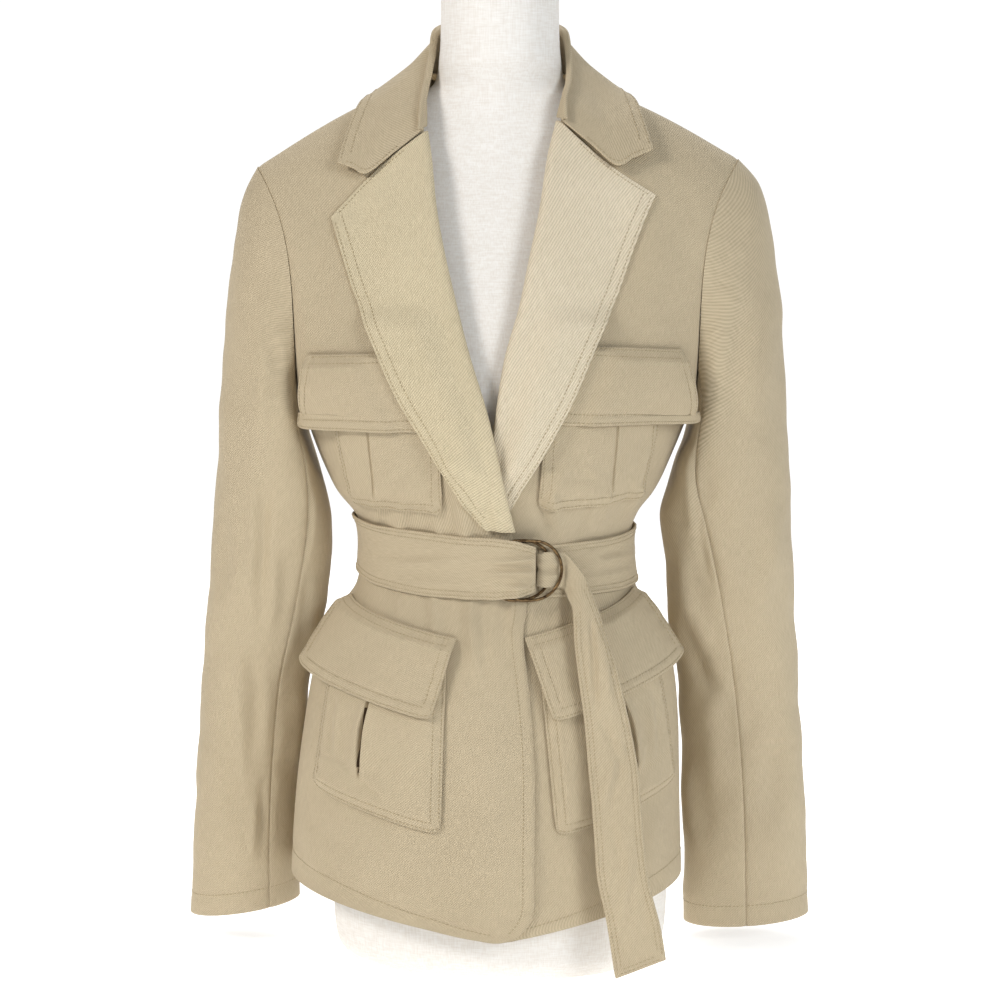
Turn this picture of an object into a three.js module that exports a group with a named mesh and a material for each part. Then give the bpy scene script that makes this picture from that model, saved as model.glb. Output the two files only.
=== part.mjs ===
import * as THREE from "three";

// A belted safari jacket of cotton twill, worn by a limbless dress form, in millimetres.
// +Z is up and the front faces -Y. The origin is the middle of the form's flat underside.
// "Right" and "left" are the wearer's, so the right half lies at negative X.

// Walls and gaps
const CLOTH = 1.6;
const DOUBLE_CLOTH = 2;
const SEAM_GAP = 0.3;
const LAY_GAP = 0.4;

// Shoulders and armholes
const SHOULDER_Y = 5;
const ARMHOLE_FRONT = 60;
const ARMHOLE_BACK = 50;
const SHOULDER_HOOK = 4.5;
const SHOULDER_RISE = 5;
const RIGHT = { sign: -1, name: "right", tipX: 195, tipZ: 656, underX: 163, underZ: 467 };
const LEFT = { sign: 1, name: "left", tipX: 192, tipZ: 662, underX: 158, underZ: 467 };

const RADIANS = Math.PI / 180;
const mix = (a, b, f) => a + (b - a) * f;
const clamp = (v, low = 0, high = 1) => Math.min(high, Math.max(low, v));
const smooth = (v) => clamp(v) ** 2 * (3 - 2 * clamp(v));
const bump = (v) => Math.exp(-v * v);
const add = (p, q, k = 1) => [p[0] + q[0] * k, p[1] + q[1] * k, p[2] + q[2] * k];
const between = (p, q, f) => [mix(p[0], q[0], f), mix(p[1], q[1], f), mix(p[2], q[2], f)];
const span = (from, to, steps) =>
  Array.from({ length: steps + 1 }, (_, i) => mix(from, to, i / steps));

function unit(p) {
  const length = Math.hypot(...p);
  return [p[0] / length, p[1] / length, p[2] / length];
}

function cross(p, q) {
  return [p[1] * q[2] - p[2] * q[1], p[2] * q[0] - p[0] * q[2], p[0] * q[1] - p[1] * q[0]];
}

// A table names its columns once, and holds one row of numbers for each section.
function table(columns, ...rows) {
  const names = columns.split(" ");
  return rows.map((row) => Object.fromEntries(names.map((name, i) => [name, row[i]])));
}

// Every column at place t, which counts the rows from 0, on a smooth curve through them.
function at(rows, t) {
  const last = rows.length - 1;
  const i = clamp(Math.floor(t), 0, last - 1);
  const f = t - i;
  const [a, b, c, d] = [i - 1, i, i + 1, i + 2].map((k) => rows[clamp(k, 0, last)]);
  const value = (name) =>
    b[name] + 0.5 * f * (c[name] - a[name] + f * (2 * a[name] - 5 * b[name] + 4 * c[name]
      - d[name] + f * (3 * (b[name] - c[name]) + d[name] - a[name])));
  return Object.fromEntries(Object.keys(b).map((name) => [name, value(name)]));
}

// The body, a row for each level from the hem to the shoulder seam. z and y are the height
// and depth at the centre front, or at the roll line above the break. edgeR and edgeL are how
// far each front reaches past the centre, less than 0 where the roll line has turned back.
// zSide, sideR and sideL place the side seam, and from the underarm up arm is the angle
// round the armhole instead. lift is how far the right front stands out over the left one.
const BODY = table(
  "z y edgeR edgeL zSide sideR sideL arm round lift zBack yBack",
  [45, -113, 27, 28, 73, 175, 152, 180, 1, 2.6, 62, 106],
  [112, -113, 27, 28, 134, 171, 150, 180, 1, 2.6, 125, 108],
  [190, -111, 27, 28, 204, 162, 148, 180, 1, 2.6, 200, 109],
  [245, -106, 23, 28, 255, 152, 142, 180, 1, 2.6, 252, 104],
  [290, -100, 18, 28, 290, 138, 128, 180, 1, 2.6, 290, 94],
  [320, -95, 20, 28, 318, 118, 111, 180, 1, 2.8, 318, 84],
  [370, -95, 9, 22, 366, 115, 109, 180, 1, 5, 366, 78],
  [408, -103, 0, 9, 402, 138, 131, 180, 1, 7.6, 404, 84],
  [463, -107, -13, 0, 467, 163, 158, 180, 0.96, 6.4, 467, 98],
  [509, -103, -27, -8, 484, 163, 158, 150, 0.9, 2.4, 500, 104],
  [547, -95, -37, -19, 512, 164, 159, 125, 0.8, 0, 535, 108],
  [585, -84, -46, -27, 545, 165, 160, 102, 0.7, 0, 572, 110],
  [623, -71, -53, -35, 580, 167, 162, 80, 0.6, 0, 610, 107],
  [662, -54, -57, -41, 612, 174, 168, 57, 0.5, 0, 650, 98],
  [698, -32, -62, -50, 640, 186, 180, 33, 0.35, 0, 690, 80],
  [727, 5, -62, -57, 656, 195, 190, 0, 0, 0, 722, 58],
);
const TOP = BODY.length - 1;
const UNDERARM = 8;
const HEM_CORNER = 36;

// A point on the armhole. Angle 0 is the shoulder tip and 180 the underarm, with the front
// of the jacket at positive angles.
function armhole(side, angle) {
  const c = Math.cos(angle * RADIANS);
  const s = Math.sin(angle * RADIANS);
  const rise = (1 + c) / 2;
  const x = mix(side.underX, side.tipX, rise ** SHOULDER_HOOK);
  const y = SHOULDER_Y - s * (s > 0 ? ARMHOLE_FRONT : ARMHOLE_BACK);
  return [side.sign * x, y, mix(side.underZ, side.tipZ, rise)];
}

// Straight away from the middle of the armhole, which both walls of that seam are cut along.
function armholeOut(angle) {
  return [0, -Math.sin(angle * RADIANS), Math.cos(angle * RADIANS)];
}

// The end of a level at the side seam or the armhole.
function sideEnd(side, row, t, facing) {
  if (t >= UNDERARM) return armhole(side, facing * row.arm);
  return [side.sign * (side === RIGHT ? row.sideR : row.sideL), SHOULDER_Y, row.zSide];
}

// The reach of a front past the centre line, with the round corner of its hem.
function frontEdge(side, row) {
  const up = clamp((row.z - BODY[0].z) / HEM_CORNER);
  const corner = HEM_CORNER * (1 - Math.sqrt(1 - (1 - up) ** 2));
  return (side === RIGHT ? row.edgeR : row.edgeL) - corner;
}

// A bare point of a front at place s across it, 0 at the centre or roll line and 1 at the
// side, and at level t.
function frontBase(side, s, t) {
  const row = at(BODY, t);
  const end = sideEnd(side, row, t, 1);
  const start = Math.max(0, side === RIGHT ? -row.edgeR : -row.edgeL);
  const angle = 90 * RADIANS * s;
  const across = mix(s, Math.sin(angle), row.round);
  const deep = mix(1 - Math.abs(s), Math.cos(angle), row.round);
  const x = side.sign * mix(start, side.sign * end[0], across);
  const rise = SHOULDER_RISE * Math.sin(Math.PI * s) * clamp((t - TOP + 3) / 3) ** 2;
  return [x, mix(end[1], row.y, deep), mix(row.z, end[2], across) + rise];
}

// Soft folds of a front, each a ridge from top to low that stands out by high millimetres,
// at distances atTop and atLow from the centre line.
const FOLDS = {
  right: table(
    "top low atTop atLow wide high",
    [318, 250, 22, 24, 7, 2.6],
    [318, 262, 52, 50, 7, 2.4],
    [318, 285, 80, 84, 8, 2],
    [440, 372, 36, 26, 8, 2.2],
    [420, 372, 70, 60, 9, 2],
    [250, 60, 12, 6, 16, 2],
    [240, 60, 60, 78, 22, 3],
  ),
  left: table(
    "top low atTop atLow wide high",
    [318, 270, 62, 66, 7, 2.4],
    [318, 285, 88, 92, 8, 2.2],
    [425, 372, 40, 50, 8, 2.4],
    [415, 372, 66, 72, 8, 2.2],
    [250, 60, 62, 74, 20, 2.6],
  ),
};

function foldHeight(side, x, z) {
  let height = 0;
  for (const fold of FOLDS[side.name]) {
    const down = (fold.top - z) / (fold.top - fold.low);
    if (down <= 0 || down >= 1) continue;
    const middle = mix(fold.atTop, fold.atLow, down);
    const along = Math.sin(Math.PI * Math.sqrt(down));
    height += fold.high * along * bump((x * side.sign - middle) / fold.wide);
  }
  return height;
}

// The way out of a surface at a place, from its neighbours on both sides.
function outOf(surface, side, s, t, top) {
  const step = 0.01;
  const [lowT, highT] = [Math.max(0, t - step), Math.min(top, t + step)];
  const across = add(surface(side, s + step, t), surface(side, s - step, t), -1);
  const up = add(surface(side, s, highT), surface(side, s, lowT), -1);
  return unit(cross(across, up)).map((v) => v * side.sign);
}

// A front's point, moved out of the cloth by out millimetres. At the armhole the wall is cut
// along the seam, and at the shoulder it stops short of the back.
function frontPoint(side, s, t, out = 0) {
  const base = frontBase(side, s, t);
  const row = at(BODY, t);
  const onArmhole = t >= UNDERARM && s > 0.999;
  let normal = outOf(frontBase, side, s, t, TOP);
  if (onArmhole) normal = unit(add(normal, armholeOut(row.arm)));
  const over = side === RIGHT ? row.lift * smooth((62 + base[0]) / 34) : 0;
  const point = add(base, normal, out + over + foldHeight(side, base[0], base[2]));
  if (onArmhole) point[0] = side.sign * Math.min(Math.abs(point[0]), Math.abs(base[0]));
  if (t >= TOP) point[1] = Math.min(point[1], base[1]);
  return point;
}

// Place s on level t that lies a millimetres along the cloth from the centre line.
function placeAlong(side, a, t) {
  const row = at(BODY, t);
  const start = Math.max(0, side === RIGHT ? -row.edgeR : -row.edgeL);
  let length = start;
  let last = frontBase(side, 0, t);
  const step = 0.04;
  if (a <= start) {
    const next = frontBase(side, step, t);
    return (step * (a - start)) / Math.hypot(next[0] - last[0], next[1] - last[1]);
  }
  for (let s = step; s < 1.3; s += step) {
    const next = frontBase(side, s, t);
    const piece = Math.hypot(...add(next, last, -1));
    if (length + piece >= a) return s - step + (step * (a - length)) / piece;
    length += piece;
    last = next;
  }
  return 1.3;
}

// The level whose inner end is z high.
function levelAt(z) {
  let [low, high] = [0, TOP];
  for (let i = 0; i < 22; i++) {
    const middle = (low + high) / 2;
    if (at(BODY, middle).z < z) low = middle;
    else high = middle;
  }
  return (low + high) / 2;
}

// A point on a front, a millimetres along the cloth from the centre line and z high, moved
// out by out. Whatever is sewn on a front is made of these.
function onFront(side, a, z, out = 0) {
  let inner = z;
  let [s, t] = [0, 0];
  for (let i = 0; i < 5; i++) {
    t = levelAt(inner);
    s = placeAlong(side, a, t);
    inner += z - frontBase(side, s, t)[2];
  }
  return frontPoint(side, Math.min(s, 0.99), t, out);
}

// The back. Its neck corner is where the shoulder seam meets the collar.
const NECK_PLACE = 0.32;

function backTop(side, s) {
  if (s > NECK_PLACE) return frontBase(side, (s - NECK_PLACE) / (1 - NECK_PLACE), TOP);
  const neck = frontBase(side, 0, TOP);
  const turn = (90 * RADIANS * s) / NECK_PLACE;
  const y = mix(neck[1], BODY[TOP].yBack, Math.cos(turn));
  return [neck[0] * Math.sin(turn), y, mix(BODY[TOP].zBack, neck[2], s / NECK_PLACE)];
}

function backSection(side, s, t) {
  const row = at(BODY, t);
  const end = sideEnd(side, row, t, -1);
  const angle = 90 * RADIANS * s;
  const round = mix(1, 0.5, clamp((t - UNDERARM) / (TOP - UNDERARM)));
  const across = mix(s, Math.sin(angle), round);
  const deep = mix(1 - Math.abs(s), Math.cos(angle), round);
  return [end[0] * across, mix(end[1], row.yBack, deep), mix(row.zBack, end[2], across)];
}

function backBase(side, s, t) {
  const place = Math.abs(s);
  const nearTop = clamp((t - TOP + 2.5) / 2.5) ** 1.5;
  const point = backSection(side, place, t);
  if (nearTop > 0) {
    const change = add(backTop(side, place), backSection(side, place, TOP), -1);
    for (const i of [0, 1, 2]) point[i] += change[i] * nearTop;
  }
  if (s < 0) point[0] = -point[0];
  return point;
}

function backPoint(side, s, t, out = 0) {
  const base = backBase(side, s, t);
  const onArmhole = t >= UNDERARM && s > 0.999;
  let normal = s === 0 ? outOf(backBase, side, 0.02, t, TOP) : outOf(backBase, side, s, t, TOP);
  normal = normal.map((v) => -v);
  if (s === 0) normal = unit([0, normal[1], normal[2]]);
  if (onArmhole) normal = unit(add(normal, armholeOut(-at(BODY, t).arm)));
  const point = add(base, normal, out);
  if (onArmhole) point[0] = side.sign * Math.min(Math.abs(point[0]), Math.abs(base[0]));
  if (t >= TOP && s >= NECK_PLACE) point[1] = Math.max(point[1], base[1]);
  return point;
}

// A closed wall between an outer and an inner grid of points, row by row, with its four
// edges stitched shut.
function wall(outer, inner) {
  const rows = outer.length;
  const columns = outer[0].length;
  const points = [...outer.flat(), ...inner.flat()];
  const faces = [];
  const quad = (a, b, c, d) => faces.push(a, b, c, a, c, d);
  const out = (r, c) => r * columns + c;
  const back = (r, c) => rows * columns + r * columns + c;
  for (let r = 0; r < rows - 1; r++) {
    for (let c = 0; c < columns - 1; c++) {
      quad(out(r, c), out(r, c + 1), out(r + 1, c + 1), out(r + 1, c));
      quad(back(r, c), back(r + 1, c), back(r + 1, c + 1), back(r, c + 1));
    }
    const far = columns - 1;
    quad(out(r, 0), out(r + 1, 0), back(r + 1, 0), back(r, 0));
    quad(out(r + 1, far), out(r, far), back(r, far), back(r + 1, far));
  }
  for (let c = 0; c < columns - 1; c++) {
    const far = rows - 1;
    quad(out(0, c + 1), out(0, c), back(0, c), back(0, c + 1));
    quad(out(far, c), out(far, c + 1), back(far, c + 1), back(far, c));
  }
  return solid(points, faces);
}

// A mesh geometry of these points and faces, turned so that its faces point outwards.
function solid(points, faces) {
  let volume = 0;
  for (let i = 0; i < faces.length; i += 3) {
    const [a, b, c] = [points[faces[i]], points[faces[i + 1]], points[faces[i + 2]]];
    const n = cross(b, c);
    volume += a[0] * n[0] + a[1] * n[1] + a[2] * n[2];
  }
  const index = volume > 0 ? faces : faces.slice().reverse();
  const geometry = new THREE.BufferGeometry();
  geometry.setAttribute("position", new THREE.Float32BufferAttribute(points.flat(), 3));
  geometry.setIndex(index);
  geometry.computeVertexNormals();
  return geometry;
}

// A solid skin over a stack of closed rings of points, capped flat at both ends.
function stack(rings) {
  const around = rings[0].length;
  const points = rings.flat();
  const faces = [];
  for (let r = 0; r < rings.length - 1; r++) {
    for (let i = 0; i < around; i++) {
      const j = (i + 1) % around;
      const [a, b] = [r * around + i, r * around + j];
      faces.push(a, b, b + around, a, b + around, a + around);
    }
  }
  const top = (rings.length - 1) * around;
  for (let i = 1; i < around - 1; i++) {
    faces.push(0, i + 1, i, top, top + i, top + i + 1);
  }
  return solid(points, faces);
}

// Materials and the named meshes
const TWILL = { color: 0xbdae8c, roughness: 0.85, metalness: 0 };
const LINEN = { color: 0xe9e5de, roughness: 0.9, metalness: 0 };
const BRASS = { color: 0x7a6246, roughness: 0.4, metalness: 1 };
const jacket = new THREE.Group();

function place(name, geometry, finish = TWILL) {
  const mesh = new THREE.Mesh(geometry, new THREE.MeshStandardMaterial(finish));
  mesh.name = name;
  jacket.add(mesh);
}

// The levels that the panels have a row of points at: close together round the hem corner,
// then half a table row apart. The sleeves start on the same armhole points.
const LEVELS = [0, 0.12, 0.3, 0.55, ...span(1, TOP, 2 * (TOP - 1))];
const ACROSS = 13;

// Fronts, from the free edge or roll line to the side seam and armhole
for (const side of [RIGHT, LEFT]) {
  const grid = (out) => LEVELS.map((t) => {
    const edge = frontEdge(side, at(BODY, t));
    const first = edge > 0 ? placeAlong(side, -edge, t) : 0;
    return span(0, 1, ACROSS).map((f) => {
      const point = frontPoint(side, mix(first, 1, f), t, out);
      if (f === 1 && t >= UNDERARM) point[0] -= side.sign * SEAM_GAP / 2;
      if ((f === 1 && t <= UNDERARM) || t === TOP) point[1] -= SEAM_GAP / 2;
      return point;
    });
  });
  place("front_" + side.name, wall(grid(0), grid(-CLOTH)));
}

// The back, one piece from side to side
const halfPlaces = [0, 0.11, 0.22, NECK_PLACE, 0.42, 0.52, 0.62, 0.72, 0.81, 0.9, 0.96, 1];
const BACK_LEVELS = LEVELS.filter((t) => t === 0.3 || t > UNDERARM || Number.isInteger(t) || (t > 4 && t < 7));
const backGrid = (out) => BACK_LEVELS.map((t) => {
  const half = (side) => halfPlaces.map((s) => {
    const point = backPoint(side, s, t, out);
    if (s === 1 && t >= UNDERARM) point[0] -= side.sign * SEAM_GAP / 2;
    if ((s === 1 && t <= UNDERARM) || (t === TOP && s >= NECK_PLACE)) point[1] += SEAM_GAP / 2;
    return point;
  });
  return [...half(RIGHT).reverse(), ...half(LEFT).slice(1)];
});
place("back", wall(backGrid(0), backGrid(-CLOTH)));

// The sleeves, a row for each ring from the armhole to the cuff: its outer and inner points
// seen from the front, the depth of its middle, how far it stands forward and back of that,
// the turn of the seams, and how much of the armhole's hook is left.
const SLEEVES = {
  right: table(
    "outX outZ inX inZ y front back twist hook",
    [195, 656, 163, 467, 5, 60, 50, 0, 1],
    [206, 634, 160, 446, 5, 59, 51, 0, 0.5],
    [214, 599, 154, 425, 6, 57, 51, -2, 0.2],
    [221, 549, 145, 400, 7, 55, 50, -4, 0],
    [226, 488, 140, 376, 9, 52, 49, -6, 0],
    [231, 430, 138.5, 350, 12, 48, 46, -9, 0],
    [237, 370, 140.5, 322, 16, 44, 42, -12, 0],
    [243, 303, 147, 285, 22, 40, 38, -15, 0],
    [250, 235, 160, 230, 31, 37, 36, -17, 0],
    [256, 167, 168, 165, 39, 35, 34, -17, 0],
    [261, 95, 172, 99, 44, 33, 32, -17, 0],
    [266, 22, 172, 36, 47, 32, 31, -17, 0],
  ),
  left: table(
    "outX outZ inX inZ y front back twist hook",
    [192, 662, 158, 467, 5, 60, 50, 0, 1],
    [210, 640, 156, 446, 5, 59, 51, 0, 0.5],
    [220, 603, 149, 425, 6, 57, 51, -6, 0.2],
    [227, 549, 138, 397, 7, 55, 50, -12, 0],
    [232, 488, 132, 374, 9, 52, 49, -18, 0],
    [237, 430, 134, 348, 12, 48, 46, -24, 0],
    [241, 370, 137, 322, 16, 44, 42, -30, 0],
    [246, 303, 141, 285, 23, 41, 39, -36, 0],
    [251, 235, 149, 230, 33, 38, 37, -40, 0],
    [256, 167, 154, 165, 41, 36, 35, -43, 0],
    [261, 95, 157, 96, 45, 34, 33, -44, 0],
    [265, 22, 158, 14, 47, 33, 32, -44, 0],
  ),
};
const CUFF = SLEEVES.right.length - 1;

// A bare point of a sleeve at an angle round it, 0 outside and 180 inside.
function sleeveBase(side, angle, t) {
  const ring = at(SLEEVES[side.name], t);
  const turned = (angle + ring.twist) * RADIANS;
  const c = Math.cos(turned);
  const s = Math.sin(turned);
  const plain = mix(side.underX, side.tipX, (1 + Math.cos(angle * RADIANS)) / 2);
  const hook = (side.sign * armhole(side, angle)[0] - plain) * ring.hook;
  const x = (ring.outX + ring.inX) / 2 + ((ring.outX - ring.inX) / 2) * c + hook;
  const z = (ring.outZ + ring.inZ) / 2 + ((ring.outZ - ring.inZ) / 2) * c;
  return [side.sign * x, ring.y - s * (s > 0 ? ring.front : ring.back), z];
}

// A sleeve's point, moved out by out. Its first ring is cut along the armhole seam.
function sleevePoint(side, angle, t, out = 0) {
  const base = sleeveBase(side, angle, t);
  const step = 0.02;
  const around = add(sleeveBase(side, angle + 1, t), sleeveBase(side, angle - 1, t), -1);
  const down = add(sleeveBase(side, angle, t + step), sleeveBase(side, angle, t), -1);
  let normal = unit(cross(around, down)).map((v) => v * side.sign);
  if (t === 0) normal = unit(add(normal, armholeOut(angle)));
  const point = add(base, normal, out);
  if (t === 0) {
    point[0] = side.sign * Math.max(Math.abs(point[0]), Math.abs(base[0])) + side.sign * SEAM_GAP / 2;
  }
  return point;
}

const armAngles = LEVELS.filter((t) => t >= UNDERARM).map((t) => at(BODY, t).arm);
const FRONT_SEAM = armAngles[3];
const BACK_SEAM = -armAngles[6];
const RINGS = [0, 0.5, 1, 1.5, 2, 2.5, 3, 3.5, 4, ...span(5, CUFF, CUFF - 5)];
const SEAM_TURN = SEAM_GAP * 1.1;

for (const side of [RIGHT, LEFT]) {
  const topAngles = [
    ...armAngles.filter((a) => a <= FRONT_SEAM),
    ...armAngles.filter((a) => a > 0 && -a >= BACK_SEAM).reverse().map((a) => -a),
  ];
  const underAngles = [
    ...armAngles.filter((a) => -a <= BACK_SEAM).reverse().map((a) => 360 - a),
    ...armAngles.filter((a) => a < 180 && a >= FRONT_SEAM),
  ].sort((a, b) => b - a);
  const piece = (angles) => (out) => RINGS.map((t) => angles.map((angle, i) => {
    const pull = i === 0 ? -SEAM_TURN : i === angles.length - 1 ? SEAM_TURN : 0;
    const whole = angle > 180 ? angle - 360 : angle;
    return sleevePoint(side, whole + pull, t, out);
  }));
  const top = piece(topAngles);
  const under = piece(underAngles);
  place("sleeve_" + side.name + "_top", wall(top(0), top(-CLOTH)));
  place("sleeve_" + side.name + "_under", wall(under(0), under(-CLOTH)));
}

// Lapels, a row for each level of the roll line from the break to the gorge: the height of
// the roll line, where the lapel's free edge lies on the front, how round the fold is, and
// how far the row bends up on its way out.
const LAPELS = {
  right: table(
    "roll edgeA edgeZ fold bend",
    [376, 10, 377, 0.6, 0],
    [396, 25, 396, 0.65, 0],
    [425, 42, 422, 0.7, 0],
    [465, 60, 450, 0.8, 0],
    [510, 82, 485, 0.9, 0],
    [555, 102, 524, 1, 0],
    [600, 119, 562, 1, 0],
    [642, 131, 597, 1, 0],
    [680, 138, 617, 1, 4],
  ),
  left: table(
    "roll edgeA edgeZ fold bend",
    [388, 8, 392, 0.3, 0],
    [411, 19, 412, 0.3, 0],
    [445, 38, 446, 0.5, 0],
    [490, 57, 481, 0.85, 0],
    [535, 77, 523, 1, 0],
    [580, 94, 558, 1, 0],
    [620, 107, 592, 1, 0],
    [656, 117, 616, 1, 0],
    [688, 126, 634, 1, -4],
  ),
};

// The fold at the roll line, as steps along the cloth and out of it, then the flat leaf.
const ROLL = [[-1.5, -0.9], [-3, -0.4], [-4, 1.4], [-3.1, 3.5], [-0.4, 4.6]];
const LEAF = [[0.06, 4.8], [0.22, 4.3], [0.42, 3.4], [0.62, 2.7], [0.82, 2.1], [1, 1.7]];

// How far a lapel stands off the front over the pocket and the flap that lie under its edge.
function overPatch(z) {
  return 6.2 * smooth((552 - z) / 20) * smooth((z - 406) / 28);
}

// How far the edge of the lapel reaches over the cloth at a height, and 1 under the lapel.
function underLapel(side, a, z) {
  const rows = LAPELS[side.name];
  const i = clamp(rows.findIndex((row) => row.edgeZ > z), 1, rows.length - 1);
  const [low, high] = [rows[i - 1], rows[i]];
  const edge = mix(low.edgeA, high.edgeA, (z - low.edgeZ) / (high.edgeZ - low.edgeZ));
  return z < rows[0].edgeZ ? 0 : smooth((edge + 26 - a) / 14);
}

function lapelGrid(side, rows, levels, half) {
  return levels.map((t) => {
    const row = at(rows, t);
    const level = levelAt(row.roll);
    const edge = at(BODY, level)[side === RIGHT ? "edgeR" : "edgeL"];
    const start = -edge;
    const dA = row.edgeA - start;
    const dZ = row.edgeZ - row.roll;
    const wide = Math.hypot(dA, dZ);
    const path = ROLL.map(([d, h]) => [ROLL[0][0] + (d - ROLL[0][0]) * row.fold, h > 0 ? h * row.fold : h]);
    for (const [f, h] of LEAF) {
      const stand = overPatch(row.roll + dZ * f) * smooth((f - 0.1) / 0.4);
      path.push([f * wide, mix(h, h * row.fold, 1 - f) + stand]);
    }
    return path.map(([d, h], i) => {
      const before = path[Math.max(0, i - 1)];
      const after = path[Math.min(path.length - 1, i + 1)];
      const turn = Math.hypot(after[0] - before[0], after[1] - before[1]);
      const along = d + (half * (before[1] - after[1])) / turn;
      const out = h + (half * (after[0] - before[0])) / turn;
      const f = along / wide;
      const z = row.roll + dZ * f + row.bend * Math.sin(Math.PI * clamp(f));
      return onFront(side, start + dA * f, z, out);
    });
  });
}

for (const side of [RIGHT, LEFT]) {
  const levels = span(0, 8, 12);
  const grid = (half) => lapelGrid(side, LAPELS[side.name], levels, half);
  place("lapel_" + side.name, wall(grid(DOUBLE_CLOTH / 2), grid(-DOUBLE_CLOTH / 2)));
}

// The collar, a row for each station from the right front round the neck to the left front:
// its sewn base, the top of its roll, the middle of its leaf and the leaf's edge.
const COLLAR = table(
  "baseX baseY baseZ rollX rollY rollZ midX midY midZ edgeX edgeY edgeZ",
  [-58, -38, 688, -61.5, -49, 686, -104, -59, 652.5, -127, -49.5, 660],
  [-58.5, -27, 704, -60, -38, 704, -92, -44, 682.5, -122, -34, 679.5],
  [-59, -10, 720, -57, -19, 721, -84, -18, 710, -114, -11, 702.5],
  [-59, 6, 732, -53, 2, 743, -75, 6, 731.5, -108, 9, 710.5],
  [-54, 24, 731, -51, 18, 762, -73, 21, 737, -102, 28, 711.5],
  [-42, 44, 727, -42, 44, 769, -59, 57, 744, -78, 72, 716],
  [-22, 57, 724, -24, 60, 771, -31, 71, 747, -41, 82, 716],
  [0, 61, 723.5, 0, 65, 772, 0, 75, 748, 0, 85, 716],
  [22, 57, 724, 24, 60, 771, 31, 71, 747, 41, 82, 716],
  [41, 44, 727, 42, 44, 769, 59, 57, 744, 77, 72, 717],
  [52.5, 24, 730, 51, 18, 762, 72, 21, 737, 99, 27, 712],
  [54.5, 6, 732, 53.5, 2, 743, 76, 6, 731, 105, 9, 712],
  [53.5, -11, 722, 53, -18, 724.5, 80, -14, 711.5, 110, -8, 705.5],
  [49, -26, 709, 49.5, -36, 710.5, 84, -41, 688.5, 115, -30, 689],
  [45, -37, 695, 49.5, -48.5, 694, 91, -59, 659, 120, -45, 670],
);
const COLLAR_FOLD = 2.3;

function collarPath(station) {
  const base = [station.baseX, station.baseY, station.baseZ];
  const roll = [station.rollX, station.rollY, station.rollZ];
  const middle = [station.midX, station.midY, station.midZ];
  const edge = [station.edgeX, station.edgeY, station.edgeZ];
  return { base, roll, middle, edge };
}

function collarGrid(stations) {
  return stations.map((k) => {
    const { base, roll, middle, edge } = collarPath(at(COLLAR, k));
    const before = collarPath(at(COLLAR, Math.max(0, k - 0.3))).roll;
    const after = collarPath(at(COLLAR, Math.min(COLLAR.length - 1, k + 0.3))).roll;
    const down = unit(add(middle, roll, -1));
    const out = unit(cross(down, add(after, before, -1)));
    const heart = add(roll, down, COLLAR_FOLD);
    const turn = (angle) => {
      const [c, s] = [Math.cos(angle * RADIANS), Math.sin(angle * RADIANS)];
      return add(add(heart, down, -COLLAR_FOLD * s), out, -COLLAR_FOLD * c);
    };
    const fold = [0, 45, 90, 135, 180].map(turn);
    const leafMiddle = add(middle, out, COLLAR_FOLD * 0.5);
    return [
      base,
      between(base, fold[0], 0.5),
      ...fold,
      between(fold[4], leafMiddle, 0.5),
      leafMiddle,
      between(leafMiddle, edge, 0.5),
      edge,
    ];
  });
}

// The grid moved out along its own normals.
function thicken(grid, out) {
  const rows = grid.length;
  const columns = grid[0].length;
  return grid.map((line, r) => line.map((point, c) => {
    const across = add(line[Math.min(c + 1, columns - 1)], line[Math.max(c - 1, 0)], -1);
    const up = add(grid[Math.min(r + 1, rows - 1)][c], grid[Math.max(r - 1, 0)][c], -1);
    return add(point, unit(cross(across, up)), out);
  }));
}

const collar = collarGrid([0, 0.5, 1, 1.5, 2, 2.5, 3, 3.5, 4, 4.5, 5, 6, 7, 8, 9, 9.5, 10, 10.5, 11, 11.5,
  12, 12.5, 13, 13.5, 14]);
place("collar", wall(thicken(collar, DOUBLE_CLOTH / 2), thicken(collar, -DOUBLE_CLOTH / 2)));

// Patch pockets with an inverted pleat, and their flaps. Corners are distances along the
// cloth from the centre line and heights; pleat is the pleat's share of the width.
const POCKETS = table(
  "innerTopA innerTopZ outerTopA outerTopZ innerLowA innerLowZ outerLowA outerLowZ pleat puff",
  [47.5, 498, 146, 496, 44, 390, 136, 390, 0.62, 2.2],
  [37, 500, 140, 500, 30, 392, 130, 395, 0.58, 2.2],
  [42, 272, 150, 286, 47, 134, 171, 158, 0.56, 3.4],
  [31, 270, 138, 292, 45, 132, 172, 160, 0.56, 3.4],
);
const FLAPS = table(
  "innerTopA innerTopZ outerTopA outerTopZ innerLowA innerLowZ outerLowA outerLowZ lift flare",
  [58, 514, 162, 510, 54, 454, 177, 453, 5, 4],
  [48, 520, 152, 514, 43, 459, 172, 458, 5, 7],
  [34, 289, 155, 309, 53, 226, 186, 252, 6, 6],
  [19.5, 290, 138, 317, 41, 225, 167, 260, 6, 6],
);
const PATCH_SIDES = [RIGHT, LEFT, RIGHT, LEFT];
const PATCH_NAMES = ["chest_right", "chest_left", "hip_right", "hip_left"];
const PLEAT_WIDE = 0.05;
const PLEAT_DEEP = 1.8;
const PATCH_GAP = 1.7;
const CORNER = 0.09;

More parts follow.
